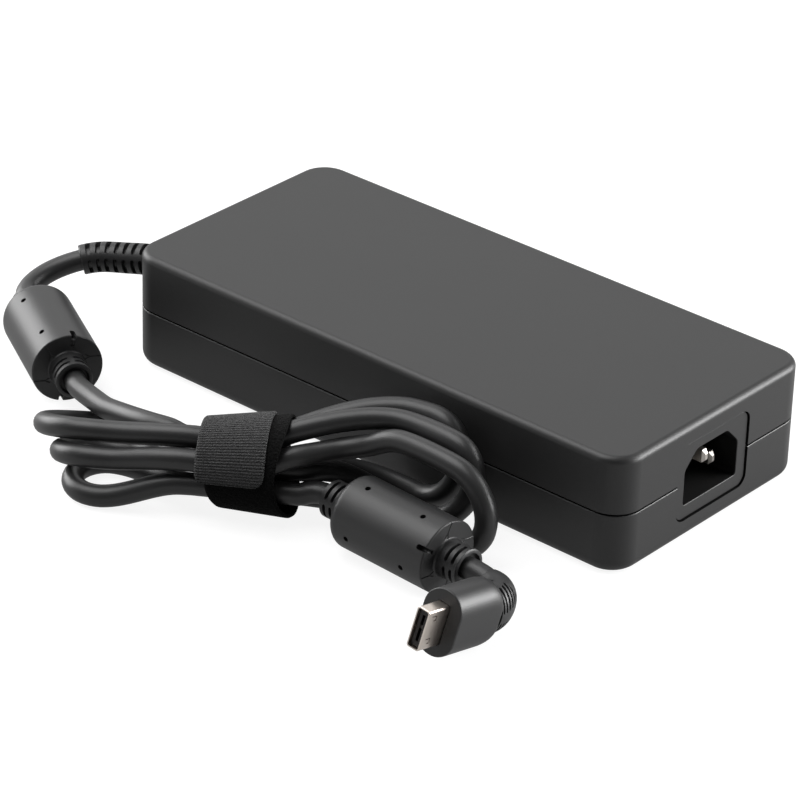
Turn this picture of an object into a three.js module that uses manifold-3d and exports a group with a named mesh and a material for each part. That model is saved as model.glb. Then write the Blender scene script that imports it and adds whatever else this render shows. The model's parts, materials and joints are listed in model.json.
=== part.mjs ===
// Laptop power adapter: a two-shell case with a mains inlet at one end and, at the other, a fixed
// low-voltage lead that runs through two ferrite sleeves, is folded into a hank under a
// hook-and-loop strap, and ends in a rectangular plug.
// Millimetres, +Z up. The origin is the centre of the case's underside, +X points to the inlet.
import * as THREE from 'three';
import { mergeVertices } from 'three/addons/utils/BufferGeometryUtils.js';
import Module from 'manifold-3d';

const wasm = await Module();
wasm.setup();

// ---- driving dimensions -------------------------------------------------------------------
// case
const caseLength = 186;
const caseWidth = 86;
const caseHeight = 37;
const caseWall = 2.4;
const caseCornerRadius = 9;
const topEdgeRadius = 2.2;
const bottomEdgeRadius = 3.9;
const partingLift = 0.5;       // the shells part this far above half height
const partingGap = 0.5;
const lipHeight = 1.6;
const lipWall = 1.0;
const fit = 0.3;               // clearance between pieces that touch on the real object

// mains inlet, three pins, opening 24.4 x 16.4
const inletOffsetY = -0.8;
const openingWidth = 24.4;
const openingHeight = 16.4;
const openingChamfer = 5.2;
const openingLift = 0.5;       // opening centre above the flange centre
const cavityDepth = 16.5;
const inletWall = 2.2;
const flangeWidth = 32.6;
const flangeHeight = 24;
const flangeCorner = 3.2;
const flangeThickness = 3;
const flangeRecess = 0.6;
const flangeGap = 0.5;
const keeperOverlap = 1.5;
const keeperThickness = 1.5;
const pinPitch = 14;
const pinRise = 4;             // earth pin above the other two
const pinWidth = 2;
const pinHeight = 4;
const pinReach = 14;
const pinTail = 5;

// circuit board; what stands on it is placed and sized in shares of its length, of its width
// and of the room above it
const boardThickness = 1.6;
const boardRise = 4;           // underside above the case floor
const boardSideGap = 3.6;      // to the case's long walls
const boardInletGap = 2.7;     // to the tails of the inlet pins
const boardCordGap = 6.6;      // to the case's end wall at the boot
const postRadius = 3;
const postInset = 6;
const postRoot = 0.5;          // sunk into the floor
const spreaderThickness = 0.8;
const spreaderInset = 2;
const sheetThickness = 0.4;
const heatsinkThickness = 3;
const padThickness = 1.5;
const padInset = 2;
const primaryHeatsink = { x: 0.667, long: 0.413, inset: 0.5, packages: 3, pitch: 0.12 };
const secondaryHeatsink = { x: 0.16, long: 0.227, inset: 5.5, packages: 2, pitch: 0.1 };
const packageWidth = 10;
const packageThickness = 4.6;
const packageHeight = 15;
const upright = [
  { name: 'bridge_rectifier', look: 'epoxy', x: 0.893, y: 0.311, long: 0.147, wide: 0.049, tall: 0.56 },
  { name: 'fuse', look: 'epoxy', x: 0.947, y: -0.054, long: 0.056, wide: 0.054, tall: 0.32 },
  { name: 'mains_filter_capacitor', look: 'filmBox', x: 0.92, y: -0.284, long: 0.06, wide: 0.257,
    tall: 0.64 },
  { name: 'control_board', look: 'board', x: 0.333, y: -0.23, long: 0.173, wide: 0.016, tall: 0.68 },
  { name: 'optocoupler_right', look: 'epoxy', x: 0.373, y: -0.324, long: 0.043, wide: 0.062, tall: 0.14 },
  { name: 'optocoupler_left', look: 'epoxy', x: 0.293, y: -0.324, long: 0.043, wide: 0.062, tall: 0.14 },
];
const lying = [
  { name: 'varistor', look: 'ceramic', x: 0.88, y: -0.04, long: 0.027, radius: 0.081 },
  { name: 'safety_capacitor_front', look: 'ceramic', x: 0.825, y: 0.054, long: 0.023, radius: 0.054 },
  { name: 'safety_capacitor_rear', look: 'ceramic', x: 0.825, y: 0.203, long: 0.023, radius: 0.054 },
  { name: 'bulk_capacitor_front', look: 'canSleeve', x: 0.573, y: -0.351, long: 0.2, radius: 0.121 },
  { name: 'bulk_capacitor_rear', look: 'canSleeve', x: 0.573, y: -0.088, long: 0.2, radius: 0.121 },
];
const toroids = [
  { name: 'line_choke', x: 0.793, y: -0.311, radius: 0.148, tall: 0.52 },
  { name: 'output_choke', x: 0.17, y: 0.189, radius: 0.1, tall: 0.36 },
];
const toroidBore = 0.45;       // of the radius
const boostChoke = { x: 0.66, y: 0.2, long: 0.147, wide: 0.297, tall: 0.8 };
const transformer = { x: 0.333, y: 0.054, long: 0.2, wide: 0.378, tall: 0.84 };
const coreLimb = 4;            // the cores' limbs round their windings
const windingInset = 2.2;
const outputCapacitors = { x: 0.19, y: -0.068, pitch: 0.0707, count: 3, tall: 0.76 };
const mainsLeadRadius = 1.1;
const mainsLeadInset = 4;      // landing behind the board's edge
const outputLeadRadius = 1.3;
const outputLeadPitch = 4.4;   // at the boot
const outputLeadReach = 8.2;   // landing beyond the boot's inner end

// low-voltage lead
const cordDiameter = 6.5;
const cordSides = 8;
const bootDiameter = 10;
const bootTipDiameter = 9.3;
const bootLength = 38.6;
const bootNeckDiameter = 8;
const bootFlangeDiameter = 13;
const bootFlangeThickness = 2;
const bootSides = 12;
const bootRibs = 11;
const bootY = -16.5;

// ferrite sleeves, overmoulded on the lead
const ferriteLength = 36;
const ferriteRadius = 10.8;
const ferriteRim = 3;
const ferriteRimCrisp = 1;
const ferriteSkin = 2.4;
const ferriteBore = 4.6;
const ferriteCoreLength = 29;
const collarRadius = 5.6;
const collarLength = 8;
const moldPinRadius = 0.9;
const moldPinStation = 10.4;
const ferriteSides = 24;
const ferriteOneAt = { x: -104.1, y: -65.1, heading: -29.5, roll: 31.7 };
const ferriteTwoAt = { x: 44.1, y: -77.6, heading: -2.8, roll: 11.6 };

// hank of three loops, and its strap
const hankAt = { x: -9.5, y: -83.5, heading: 33 };
const hankSides = 6;
const hankGap = 1.2;           // between neighbouring strands under the strap
const runSteps = 6;            // tube steps along a run and round a fold
const foldSteps = 8;
const waistReach = 15.3;     // half the strands' straight length under the strap
const waistLift = 6;           // from here on the upper strands climb to the right
const waistSwing = 38;         // degrees the front upper strand hangs down on its way
const rightUpperRun = { x: 31, y: -55.2, z: 30.2 };
const rightLowerRun = { x: 25, y: -63.2 };
const rightUpperEnds = [31.5, 44, 49];
const rightLowerEnds = [26, 35, 50];
const rightTips = [40, 50.5, 62.6];
const leftRunLength = 25;      // from the waist to where the left runs are parallel
const leftFarRun = 12;
const leftFarSpread = 1.85;    // the farthest run lies wider of the next one
const leftEnds = [42.5, 41, 40];
const leftTips = [60.4, 53.6, 49];
const leftNearRuns = [
  { out: 2.4, rise: 15.6 },
  { out: -3, rise: 10 },
  { out: -7.2, rise: 0 },
];
const strapSlack = 0.5;        // room under the strands inside the strap
const strapWidth = 23;
const strapThickness = 1.2;
const strapFlare = 2.4;        // the strap opens by this radius towards the right folds
const strapTailFrom = 20;      // the strap's outer layer, degrees round the hank
const strapTailTo = 180;
const strapSides = 36;

// plug
const plugAt = { x: 84.6, y: -109, z: 13.6, heading: -2, pitch: 14, lean: 7 };
const plugBodyLength = 20;
const plugBodyTall = 19.7;
const plugBodyThick = 12.8;
const plugRearDiameter = 12.6;
const plugBootLength = 11.5;
const plugBootTipDiameter = 8.6;
const plugBootRibs = 6;
const shellTall = 12;
const shellThick = 4.2;
const shellSheet = 0.4;
const shellReach = 8.8;
const shellSeat = 4;
const contactRadius = 0.6;

// ---- building blocks ------------------------------------------------------------------------
const model = new THREE.Group();
const cordRadius = cordDiameter / 2;

const looks = {
  caseShell: { color: 0x4b4b4c, roughness: 0.55, metalness: 0 },
  inletBlack: { color: 0x161617, roughness: 0.5, metalness: 0 },
  nickel: { color: 0xb9b4a8, roughness: 0.3, metalness: 1 },
  jacket: { color: 0x38383a, roughness: 0.5, metalness: 0 },
  sleeve: { color: 0x3f3f41, roughness: 0.5, metalness: 0 },
  ferrite: { color: 0x2a2a2c, roughness: 0.6, metalness: 0.1 },
  strap: { color: 0x2c2c2e, roughness: 0.95, metalness: 0 },
  board: { color: 0x2f5d3a, roughness: 0.6, metalness: 0 },
  aluminium: { color: 0xb4b6b8, roughness: 0.4, metalness: 1 },
  film: { color: 0xd9d4b8, roughness: 0.5, metalness: 0 },
  pad: { color: 0x8d9097, roughness: 0.9, metalness: 0 },
  copper: { color: 0xb8703a, roughness: 0.4, metalness: 0.8 },
  tape: { color: 0xc9a441, roughness: 0.5, metalness: 0 },
  canSleeve: { color: 0x20242c, roughness: 0.4, metalness: 0 },
  filmBox: { color: 0xc7b25a, roughness: 0.5, metalness: 0 },
  ceramic: { color: 0x2f5f9a, roughness: 0.5, metalness: 0 },
  epoxy: { color: 0x1b1b1d, roughness: 0.6, metalness: 0 },
};

function addPart(name, geometry, look, parent = model) {
  const mesh = new THREE.Mesh(geometry, new THREE.MeshStandardMaterial(looks[look]));
  mesh.name = name;
  parent.add(mesh);
  return mesh;
}

function solidOf(geometry) {
  const bare = geometry.clone();
  bare.deleteAttribute('normal');
  bare.deleteAttribute('uv');
  const merged = mergeVertices(bare, 1e-4);
  return new wasm.Manifold(new wasm.Mesh({
    numProp: 3,
    vertProperties: new Float32Array(merged.attributes.position.array),
    triVerts: new Uint32Array(merged.index.array),
  }));
}

function geometryOf(solid) {
  const mesh = solid.getMesh();
  const geometry = new THREE.BufferGeometry();
  geometry.setAttribute('position', new THREE.BufferAttribute(mesh.vertProperties, 3));
  geometry.setIndex(new THREE.BufferAttribute(mesh.triVerts, 1));
  geometry.computeVertexNormals();
  return geometry;
}

function cut(geometry, ...tools) {
  const start = solidOf(geometry);
  return geometryOf(tools.reduce((solid, tool) => solid.subtract(solidOf(tool)), start));
}

function join(geometry, ...others) {
  const start = solidOf(geometry);
  return geometryOf(others.reduce((solid, other) => solid.add(solidOf(other)), start));
}

// A closed skin through rings of points; the first and last ring are capped. Rings with the
// flag `around` set close on themselves instead.
function skin(rings, around = false) {
  const count = rings[0].length;
  const positions = rings.flat().flatMap((point) => [point.x, point.y, point.z]);
  const faces = [];
  const links = around ? rings.length : rings.length - 1;
  for (let ring = 0; ring < links; ring += 1) {
    const next = (ring + 1) % rings.length;
    for (let side = 0; side < count; side += 1) {
      const after = (side + 1) % count;
      const corner = [ring * count + side, ring * count + after, next * count + after, next * count + side];
      faces.push(corner[0], corner[1], corner[2], corner[0], corner[2], corner[3]);
    }
  }
  if (!around) {
    for (const [ring, flip] of [[0, true], [rings.length - 1, false]]) {
      const middle = positions.length / 3;
      const centre = new THREE.Vector3();
      rings[ring].forEach((point) => centre.addScaledVector(point, 1 / count));
      positions.push(centre.x, centre.y, centre.z);
      for (let side = 0; side < count; side += 1) {
        const pair = [ring * count + side, ring * count + (side + 1) % count];
        if (flip) pair.reverse();
        faces.push(middle, pair[0], pair[1]);
      }
    }
  }
  return outward(positions, faces);
}

// A mesh from points and faces, turned inside out if its volume comes out negative.
function outward(positions, faces) {
  const corner = (index) => new THREE.Vector3().fromArray(positions, 3 * index);
  let volume = 0;
  for (let face = 0; face < faces.length; face += 3) {
    const [a, b, c] = [0, 1, 2].map((offset) => corner(faces[face + offset]));
    volume += a.dot(b.cross(c));
  }
  if (volume < 0) faces.reverse();
  const geometry = new THREE.BufferGeometry();
  geometry.setAttribute('position', new THREE.BufferAttribute(new Float32Array(positions), 3));
  geometry.setIndex(faces);
  geometry.computeVertexNormals();
  return geometry;
}

// Outline of a rounded rectangle, as points in the plane.
function roundedOutline(width, height, radius, steps = 6) {
  const points = [];
  for (const [quarter, signX, signY] of [[0, 1, 1], [1, -1, 1], [2, -1, -1], [3, 1, -1]]) {
    for (let step = 0; step <= steps; step += 1) {
      const angle = (quarter + step / steps) * Math.PI / 2;
      const x = signX * (width / 2 - radius) + radius * Math.cos(angle);
      const y = signY * (height / 2 - radius) + radius * Math.sin(angle);
      points.push(new THREE.Vector2(x, y));
    }
  }
  return points;
}

function outlineAtHeight(outline, z) {
  return outline.map((point) => new THREE.Vector3(point.x, point.y, z));
}

function block(sizeX, sizeY, sizeZ, x, y, z) {
  return new THREE.BoxGeometry(sizeX, sizeY, sizeZ).translate(x, y, z + sizeZ / 2);
}

// A round bar along X from its left end.
function barX(radius, length, x, y, z, sides = 16) {
  const bar = new THREE.CylinderGeometry(radius, radius, length, sides);
  return bar.rotateZ(Math.PI / 2).translate(x + length / 2, y, z);
}

function barZ(radius, length, x, y, z, sides = 16) {
  const bar = new THREE.CylinderGeometry(radius, radius, length, sides);
  return bar.rotateX(Math.PI / 2).translate(x, y, z + length / 2);
}

function ringAboutX(x, radius, sides) {
  const ring = [];
  for (let side = 0; side < sides; side += 1) {
    const angle = 2 * Math.PI * side / sides;
    ring.push(new THREE.Vector3(x, radius * Math.cos(angle), radius * Math.sin(angle)));
  }
  return ring;
}

// A turned piece along X from pairs of place and radius; `around` makes a ring with a bore.
function turned(profile, sides, around = false) {
  return skin(profile.map(([x, radius]) => ringAboutX(x, radius, sides)), around);
}

// A round tube through points, with its own radius at each point and flat ends. Two points may
// share one place, where the radius jumps.
function ribbedTube(points, radii, sides) {
  const tangents = points.map((point, index) => {
    let before = Math.max(index - 1, 0);
    let after = Math.min(index + 1, points.length - 1);
    if (before && points[before].distanceTo(point) < 1e-6) before -= 1;
    if (after < points.length - 1 && points[after].distanceTo(point) < 1e-6) after += 1;
    return points[after].clone().sub(points[before]).normalize();
  });
  const side = new THREE.Vector3(0, 0, 1).cross(tangents[0]).normalize();
  const rings = points.map((point, index) => {
    side.addScaledVector(tangents[index], -side.dot(tangents[index])).normalize();
    const other = tangents[index].clone().cross(side);
    const ring = [];
    for (let corner = 0; corner < sides; corner += 1) {
      const angle = 2 * Math.PI * corner / sides;
      ring.push(point.clone()
        .addScaledVector(side, radii[index] * Math.cos(angle))
        .addScaledVector(other, radii[index] * Math.sin(angle)));
    }
    return ring;
  });
  return skin(rings);
}

// A free stretch of the lead, from one distance along its route to another.
class Stretch extends THREE.Curve {
  constructor(route, start, end) {
    super();
    const length = route.getLength();
    this.route = route;
    this.from = start / length;
    this.to = end / length;
  }

  getPoint(t, target = new THREE.Vector3()) {
    return target.copy(this.route.getPointAt(this.from + (this.to - this.from) * t));
  }
}

function cordTube(stretch, steps) {
  const section = new THREE.Shape();
  for (let side = 0; side < cordSides; side += 1) {
    const angle = 2 * Math.PI * side / cordSides;
    section[side ? 'lineTo' : 'moveTo'](cordRadius * Math.cos(angle), cordRadius * Math.sin(angle));
  }
  section.closePath();
  return new THREE.ExtrudeGeometry(section, { steps, extrudePath: stretch });
}

function route(points) {
  const stations = points.map((point) => new THREE.Vector3(...point));
  return new THREE.CatmullRomCurve3(stations, false, 'centripetal');
}

// ---- case -----------------------------------------------------------------------------------
const halfLength = caseLength / 2;
const partingHeight = caseHeight / 2 + partingLift;
const floorTop = caseWall;
const ceiling = caseHeight - caseWall;
const flangeMiddle = partingHeight;
const flangeFront = halfLength - flangeRecess;
const bootExit = new THREE.Vector3(-halfLength, bootY, partingHeight);
const cavityBack = flangeFront - cavityDepth;
const inletBack = cavityBack - inletWall;
const boardWidth = caseWidth - 2 * (caseWall + boardSideGap);
const boardEndInlet = inletBack - pinTail - boardInletGap;
const boardEndCord = -halfLength + caseWall + boardCordGap;
const boardLength = boardEndInlet - boardEndCord;
const boardMiddle = (boardEndInlet + boardEndCord) / 2;

// One ring of the case's outside, drawn in by `inset` at height z.
function caseRing(z, inset = 0) {
  const width = caseWidth - 2 * inset;
  const radius = Math.max(caseCornerRadius - inset, 0.5);
  return outlineAtHeight(roundedOutline(caseLength - 2 * inset, width, radius), z);
}

function filletRings(edgeZ, radius, towards) {
  const rings = [];
  const steps = 4;
  for (let step = 0; step <= steps; step += 1) {
    const angle = (step / steps) * Math.PI / 2;
    const z = edgeZ - towards * radius * (1 - Math.sin(angle));
    rings.push(caseRing(z, radius * (1 - Math.cos(angle))));
  }
  return rings;
}

const inletWindow = () => {
  const spread = 2 * flangeGap;
  const outline = roundedOutline(flangeWidth + spread, flangeHeight + spread, flangeCorner + flangeGap);
  const ring = (x) => outline.map((point) => (
    new THREE.Vector3(x, inletOffsetY + point.x, flangeMiddle + point.y)));
  return skin([ring(halfLength - caseWall - 1), ring(halfLength + 1)]);
};

const bootWindow = () => barX(
  bootNeckDiameter / 2 + fit, caseWall + 2, -halfLength - 1, bootY, partingHeight, 24);

function upperCover() {
  const rim = partingHeight + partingGap / 2;
  const outside = skin([caseRing(rim), ...filletRings(caseHeight, topEdgeRadius, 1)]);
  const inside = skin([caseRing(rim - 1, caseWall), caseRing(ceiling, caseWall)]);
  return cut(outside, inside, inletWindow(), bootWindow());
}

function lowerCover() {
  const rim = partingHeight - partingGap / 2;
  const outside = skin([...filletRings(0, bottomEdgeRadius, -1).reverse(), caseRing(rim)]);
  const inside = skin([caseRing(floorTop, caseWall), caseRing(rim + 1, caseWall)]);
  const shell = cut(outside, inside);
  const lipOutside = caseWall + fit;
  const lipInside = lipOutside + lipWall;
  const lipRoot = rim - 2;
  const lip = cut(
    skin([caseRing(lipRoot, caseWall - 0.4), caseRing(rim - 0.2, caseWall - 0.4),
      caseRing(rim - 0.2, lipOutside), caseRing(rim + lipHeight, lipOutside)]),
    skin([caseRing(lipRoot - 1, lipInside), caseRing(rim + lipHeight + 1, lipInside)]),
  );
  const lipClear = block(keeperThickness + flangeThickness + 6, flangeWidth + 12, 2 * flangeHeight,
    halfLength - caseWall - 3, inletOffsetY, flangeMiddle - flangeHeight);
  const bootClear = block(8, bootFlangeDiameter + 2, 2 * bootFlangeDiameter,
    -halfLength + caseWall + 2, bootY, partingHeight - bootFlangeDiameter);
  const posts = [];
  for (const x of [boardEndInlet - postInset, boardEndCord + postInset]) {
    for (const side of [-1, 1]) {
      const y = side * (boardWidth / 2 - postInset);
      posts.push(barZ(postRadius, boardRise - fit + postRoot, x, y, floorTop - postRoot, 12));
    }
  }
  return cut(join(shell, cut(lip, lipClear, bootClear), ...posts), inletWindow(), bootWindow());
}

addPart('upper_cover', upperCover(), 'caseShell');
addPart('lower_cover', lowerCover(), 'caseShell');

// ---- mains inlet ----------------------------------------------------------------------------
const keeperFront = halfLength - caseWall - fit;
const openingMiddle = flangeMiddle + openingLift;
const pinSpots = [
  ['line_pin', pinPitch / 2, -pinRise / 2],
  ['neutral_pin', -pinPitch / 2, -pinRise / 2],
  ['earth_pin', 0, pinRise / 2],
];

// The opening's outline: a rectangle whose two top corners are cut off.
function openingRing(x, grow = 0) {
  const halfOpening = openingWidth / 2 + grow;
  const top = openingHeight / 2 + grow;
  const slope = halfOpening - openingChamfer;
  return [[halfOpening, -top], [halfOpening, top - openingChamfer], [slope, top],
    [-slope, top], [-halfOpening, top - openingChamfer], [-halfOpening, -top]]
    .map(([y, z]) => new THREE.Vector3(x, inletOffsetY + y, openingMiddle + z));
}

function pinBlock(rise, side, from, to, grow = 0) {
  return block(to - from, pinWidth + 2 * grow, pinHeight + 2 * grow,
    (from + to) / 2, inletOffsetY + side, openingMiddle + rise - pinHeight / 2 - grow);
}

function inletHousing() {
  const outline = roundedOutline(flangeWidth, flangeHeight, flangeCorner);
  const flangeRing = (x) => outline.map((point) => (
    new THREE.Vector3(x, inletOffsetY + point.x, flangeMiddle + point.y)));
  const flange = skin([flangeRing(flangeFront - flangeThickness), flangeRing(flangeFront)]);
  const keeper = block(keeperThickness, flangeWidth + 2 * keeperOverlap,
    flangeHeight + 2 * keeperOverlap, keeperFront - keeperThickness / 2, inletOffsetY,
    flangeMiddle - flangeHeight / 2 - keeperOverlap);
  const barrel = skin([openingRing(inletBack, inletWall), openingRing(flangeFront - 1, inletWall)]);
  const cavity = skin([openingRing(cavityBack), openingRing(flangeFront + 1)]);
  const slots = pinSpots.map(([, side, rise]) => (
    pinBlock(rise, side, inletBack - 1, cavityBack + 1, fit)));
  return cut(join(flange, keeper, barrel), cavity, ...slots);
}

addPart('inlet_housing', inletHousing(), 'inletBlack');
for (const [name, side, rise] of pinSpots) {
  addPart(name, pinBlock(rise, side, inletBack - pinTail, cavityBack + pinReach), 'nickel');
}

// ---- inside the case ------------------------------------------------------------------------
const boardHeight = floorTop + boardRise;
const boardTop = boardHeight + boardThickness;
const seat = boardTop + fit;

function onBoardX(share) {
  return boardEndCord + share * boardLength;
}

addPart('circuit_board', block(boardLength, boardWidth, boardThickness,
  boardMiddle, 0, boardHeight), 'board');

const spreaderLength = boardLength - 4 * postInset;
const spreaderWidth = boardWidth - 2 * spreaderInset;
const spreaderTop = ceiling - fit;
const sheetHeight = floorTop + spreaderThickness + 2 * fit;
for (const [name, thickness, height, look] of [
  ['lower_heat_spreader', spreaderThickness, floorTop + fit, 'aluminium'],
  ['insulating_sheet', sheetThickness, sheetHeight, 'film'],
  ['upper_heat_spreader', spreaderThickness, spreaderTop - spreaderThickness, 'aluminium'],
]) {
  addPart(name, block(spreaderLength, spreaderWidth, thickness, boardMiddle, 0, height), look);
}

// A heatsink along the board's rear edge, its pad under the upper spreader, and the packages
// that stand against it.
const padTop = spreaderTop - spreaderThickness - fit;
const heatsinkTop = padTop - padThickness - fit;
const room = padTop - seat;
function addHeatsink(name, sink, packageName) {
  const x = onBoardX(sink.x);
  const y = boardWidth / 2 - sink.inset - heatsinkThickness / 2;
  const length = sink.long * boardLength;
  const shelfWidth = 2.5 * heatsinkThickness;
  const shelfY = y + (heatsinkThickness - shelfWidth) / 2;
  const plate = block(length, heatsinkThickness, heatsinkTop - seat, x, y, seat);
  const shelf = block(length, shelfWidth, heatsinkThickness, x, shelfY, heatsinkTop - heatsinkThickness);
  addPart(`${name}_heatsink`, join(plate, shelf), 'aluminium');
  addPart(`${name}_thermal_pad`, block(length - 2 * padInset, shelfWidth - 1, padThickness,
    x, shelfY, heatsinkTop + fit), 'pad');
  const packageY = y - heatsinkThickness / 2 - fit - packageThickness / 2;
  const pitch = sink.pitch * boardLength;
  for (let index = 0; index < sink.packages; index += 1) {
    const packageX = x + (index - (sink.packages - 1) / 2) * pitch;
    addPart(`${packageName}_${index + 1}`, block(packageWidth, packageThickness, packageHeight,
      packageX, packageY, seat), 'epoxy');
  }
}

addHeatsink('primary', primaryHeatsink, 'power_transistor');
addHeatsink('secondary', secondaryHeatsink, 'output_rectifier');

for (const { name, look, x, y, long, wide, tall } of upright) {
  addPart(name, block(long * boardLength, wide * boardWidth, tall * room,
    onBoardX(x), y * boardWidth, seat), look);
}

for (const { name, look, x, y, long, radius } of lying) {
  const size = radius * boardWidth;
  const length = long * boardLength;
  addPart(name, barX(size, length, onBoardX(x) - length / 2, y * boardWidth, seat + size, 20), look);
}

for (const { name, x, y, radius, tall } of toroids) {
  const size = radius * boardWidth;
  const bore = size * toroidBore;
  const profile = [[0, bore], [0, size], [tall * room, size], [tall * room, bore]];
  addPart(name, turned(profile, 20, true).rotateY(-Math.PI / 2)
    .translate(onBoardX(x), y * boardWidth, seat), 'copper');
}

// A closed core with its winding in the window.
function addWound(name, wound, look) {
  const [x, y] = [onBoardX(wound.x), wound.y * boardWidth];
  const [long, wide, tall] = [wound.long * boardLength, wound.wide * boardWidth, wound.tall * room];
  const windowLong = long - 2 * coreLimb;
  const windowTall = tall - 2 * coreLimb;
  addPart(`${name}_core`, cut(block(long, wide, tall, x, y, seat),
    block(windowLong, wide + 2, windowTall, x, y, seat + coreLimb)), 'ferrite');
  addPart(`${name}_winding`, block(windowLong - 2 * fit, wide - 2 * windingInset,
    windowTall - 2 * fit, x, y, seat + coreLimb + fit), look);
}

addWound('boost_choke', boostChoke, 'copper');
addWound('transformer', transformer, 'tape');

const capacitorPitch = outputCapacitors.pitch * boardLength;
for (let index = 0; index < outputCapacitors.count; index += 1) {
  addPart(`output_capacitor_${index + 1}`, barZ(capacitorPitch / 2 - fit, outputCapacitors.tall * room,
    onBoardX(outputCapacitors.x) - index * capacitorPitch, outputCapacitors.y * boardWidth, seat),
  'canSleeve');
}

// Leads inside the case, from the inlet pins to the board and from the board to the boot.
function innerLead(points, radius) {
  const path = route(points);
  const count = 9;
  return ribbedTube(path.getSpacedPoints(count - 1), new Array(count).fill(radius), 6);
}

const pinEnd = inletBack - pinTail - fit;
const mainsLanding = boardEndInlet - mainsLeadInset;
for (const [name, pin, spread, look] of [
  ['line_lead', 0, 3.8, 'canSleeve'],
  ['neutral_lead', 1, -3.2, 'film'],
  ['earth_lead', 2, 3.8, 'board'],
]) {
  const [, side, rise] = pinSpots[pin];
  const y = inletOffsetY + side;
  const level = openingMiddle + rise;
  addPart(name, innerLead([[pinEnd, y, level], [pinEnd - 2, y, level],
    [mainsLanding, y + 0.8 * spread, (level + seat) / 2], [mainsLanding, y + spread, seat]],
  mainsLeadRadius), look);
}

const leadStart = -halfLength + caseWall + bootFlangeThickness + 3 * fit;
for (const [name, side, look] of [
  ['output_lead_positive', outputLeadPitch / 2, 'tape'],
  ['output_lead_negative', -outputLeadPitch / 2, 'canSleeve'],
]) {
  addPart(name, innerLead([[leadStart, bootY + side, partingHeight],
    [leadStart + 2, bootY + side, partingHeight],
    [leadStart + 0.8 * outputLeadReach, bootY + 1.6 * side, (partingHeight + seat) / 2],
    [leadStart + outputLeadReach, bootY + 1.8 * side, seat]], outputLeadRadius), look);
}

// ---- low-voltage lead: boot and first stretch ---------------------------------------------------
const ferriteEnd = ferriteLength / 2 + collarLength + fit;

// A point on a ferrite sleeve's axis, at a distance from its middle.
function onAxis(at, distance) {
  const angle = THREE.MathUtils.degToRad(at.heading);
  return [at.x + distance * Math.cos(angle), at.y + distance * Math.sin(angle), ferriteRadius];
}

const firstRoute = route([
  bootExit.toArray(),
  [-100, bootY, partingHeight],
  [-108, -17.2, 18.6],
  [-116.5, -20.2, 17.5],
  [-124.6, -25, 16.7],
  [-130.2, -31.5, 14.9],
  [-133.2, -38.8, 12.9],
  [-132.8, -46, 11.3],
  onAxis(ferriteOneAt, -ferriteEnd - 3.2),
  onAxis(ferriteOneAt, -ferriteEnd),
]);
const firstLength = firstRoute.getLength();

function bootOnCase() {
  const ribStep = 0.88 * bootLength / bootRibs;
  const ribStart = 0.117 * bootLength;
  const stations = [[-caseWall - fit - bootFlangeThickness, bootFlangeDiameter],
    [-caseWall - fit, bootFlangeDiameter], [-caseWall - fit, bootNeckDiameter],
    [fit, bootNeckDiameter], [fit, bootDiameter]];
  for (let rib = 0; rib < bootRibs; rib += 1) {
    const at = ribStart + rib * ribStep;
    const width = THREE.MathUtils.lerp(bootDiameter, bootTipDiameter, at / bootLength);
    stations.push([at, width], [at + 0.1, width - 1], [at + 0.4 * ribStep, width - 1],
      [at + 0.4 * ribStep + 0.1, width]);
  }
  stations.push([bootLength, bootTipDiameter]);
  const path = new Stretch(firstRoute, 0, bootLength);
  const points = stations.map(([at]) => (at < 0
    ? bootExit.clone().add(new THREE.Vector3(-at, 0, 0))
    : path.getPoint(at / bootLength)));
  return ribbedTube(points, stations.map(([, width]) => width / 2), bootSides);
}

addPart('cord_boot', bootOnCase(), 'sleeve');
addPart('cord_case_to_ferrite', cordTube(
  new Stretch(firstRoute, bootLength + fit, firstLength), 5), 'jacket');

// ---- ferrite sleeves ------------------------------------------------------------------------
const cavityRadius = ferriteRadius - ferriteSkin;
const cavityLength = ferriteCoreLength + 2 * fit;

function overmould() {
  const half = ferriteLength / 2;
  const end = half + collarLength;
  const profile = [[-end, collarRadius], [-half, collarRadius]];
  for (const angle of [0, 30, 60, 90]) {
    const turn = THREE.MathUtils.degToRad(angle);
    profile.push([-half + ferriteRim * (1 - Math.cos(turn)),
      ferriteRadius - ferriteRim * (1 - Math.sin(turn))]);
  }
  profile.push([half - ferriteRimCrisp, ferriteRadius], [half, ferriteRadius - ferriteRimCrisp],
    [half, collarRadius], [end, collarRadius]);
  const cavity = turned([[-cavityLength / 2, ferriteBore], [-cavityLength / 2, cavityRadius],
    [cavityLength / 2, cavityRadius], [cavityLength / 2, ferriteBore]], ferriteSides, true);
  const holes = [];
  for (const station of [-moldPinStation, moldPinStation]) {
    for (let quarter = 0; quarter < 4; quarter += 1) {
      const hole = barZ(moldPinRadius, ferriteRadius, station, 0, cavityRadius - 1, 8);
      holes.push(hole.rotateX(quarter * Math.PI / 2));
    }
  }
  return cut(turned(profile, ferriteSides), cavity, ...holes);
}

function ferriteCore() {
  const half = ferriteCoreLength / 2;
  const inner = ferriteBore + fit;
  const outer = cavityRadius - fit;
  return turned([[-half, inner], [-half, outer], [half, outer], [half, inner]], ferriteSides, true);
}

for (const [number, at] of [[1, ferriteOneAt], [2, ferriteTwoAt]]) {
  const sleeve = new THREE.Group();
  sleeve.name = `ferrite_sleeve_${number}`;
  sleeve.position.set(at.x, at.y, ferriteRadius);
  sleeve.rotation.z = THREE.MathUtils.degToRad(at.heading);
  model.add(sleeve);
  const roll = THREE.MathUtils.degToRad(at.roll);
  addPart(`ferrite_${number}_overmould`, overmould().rotateX(roll), 'sleeve', sleeve);
  addPart(`ferrite_${number}_core`, ferriteCore().rotateX(roll), 'ferrite', sleeve);
}

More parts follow.
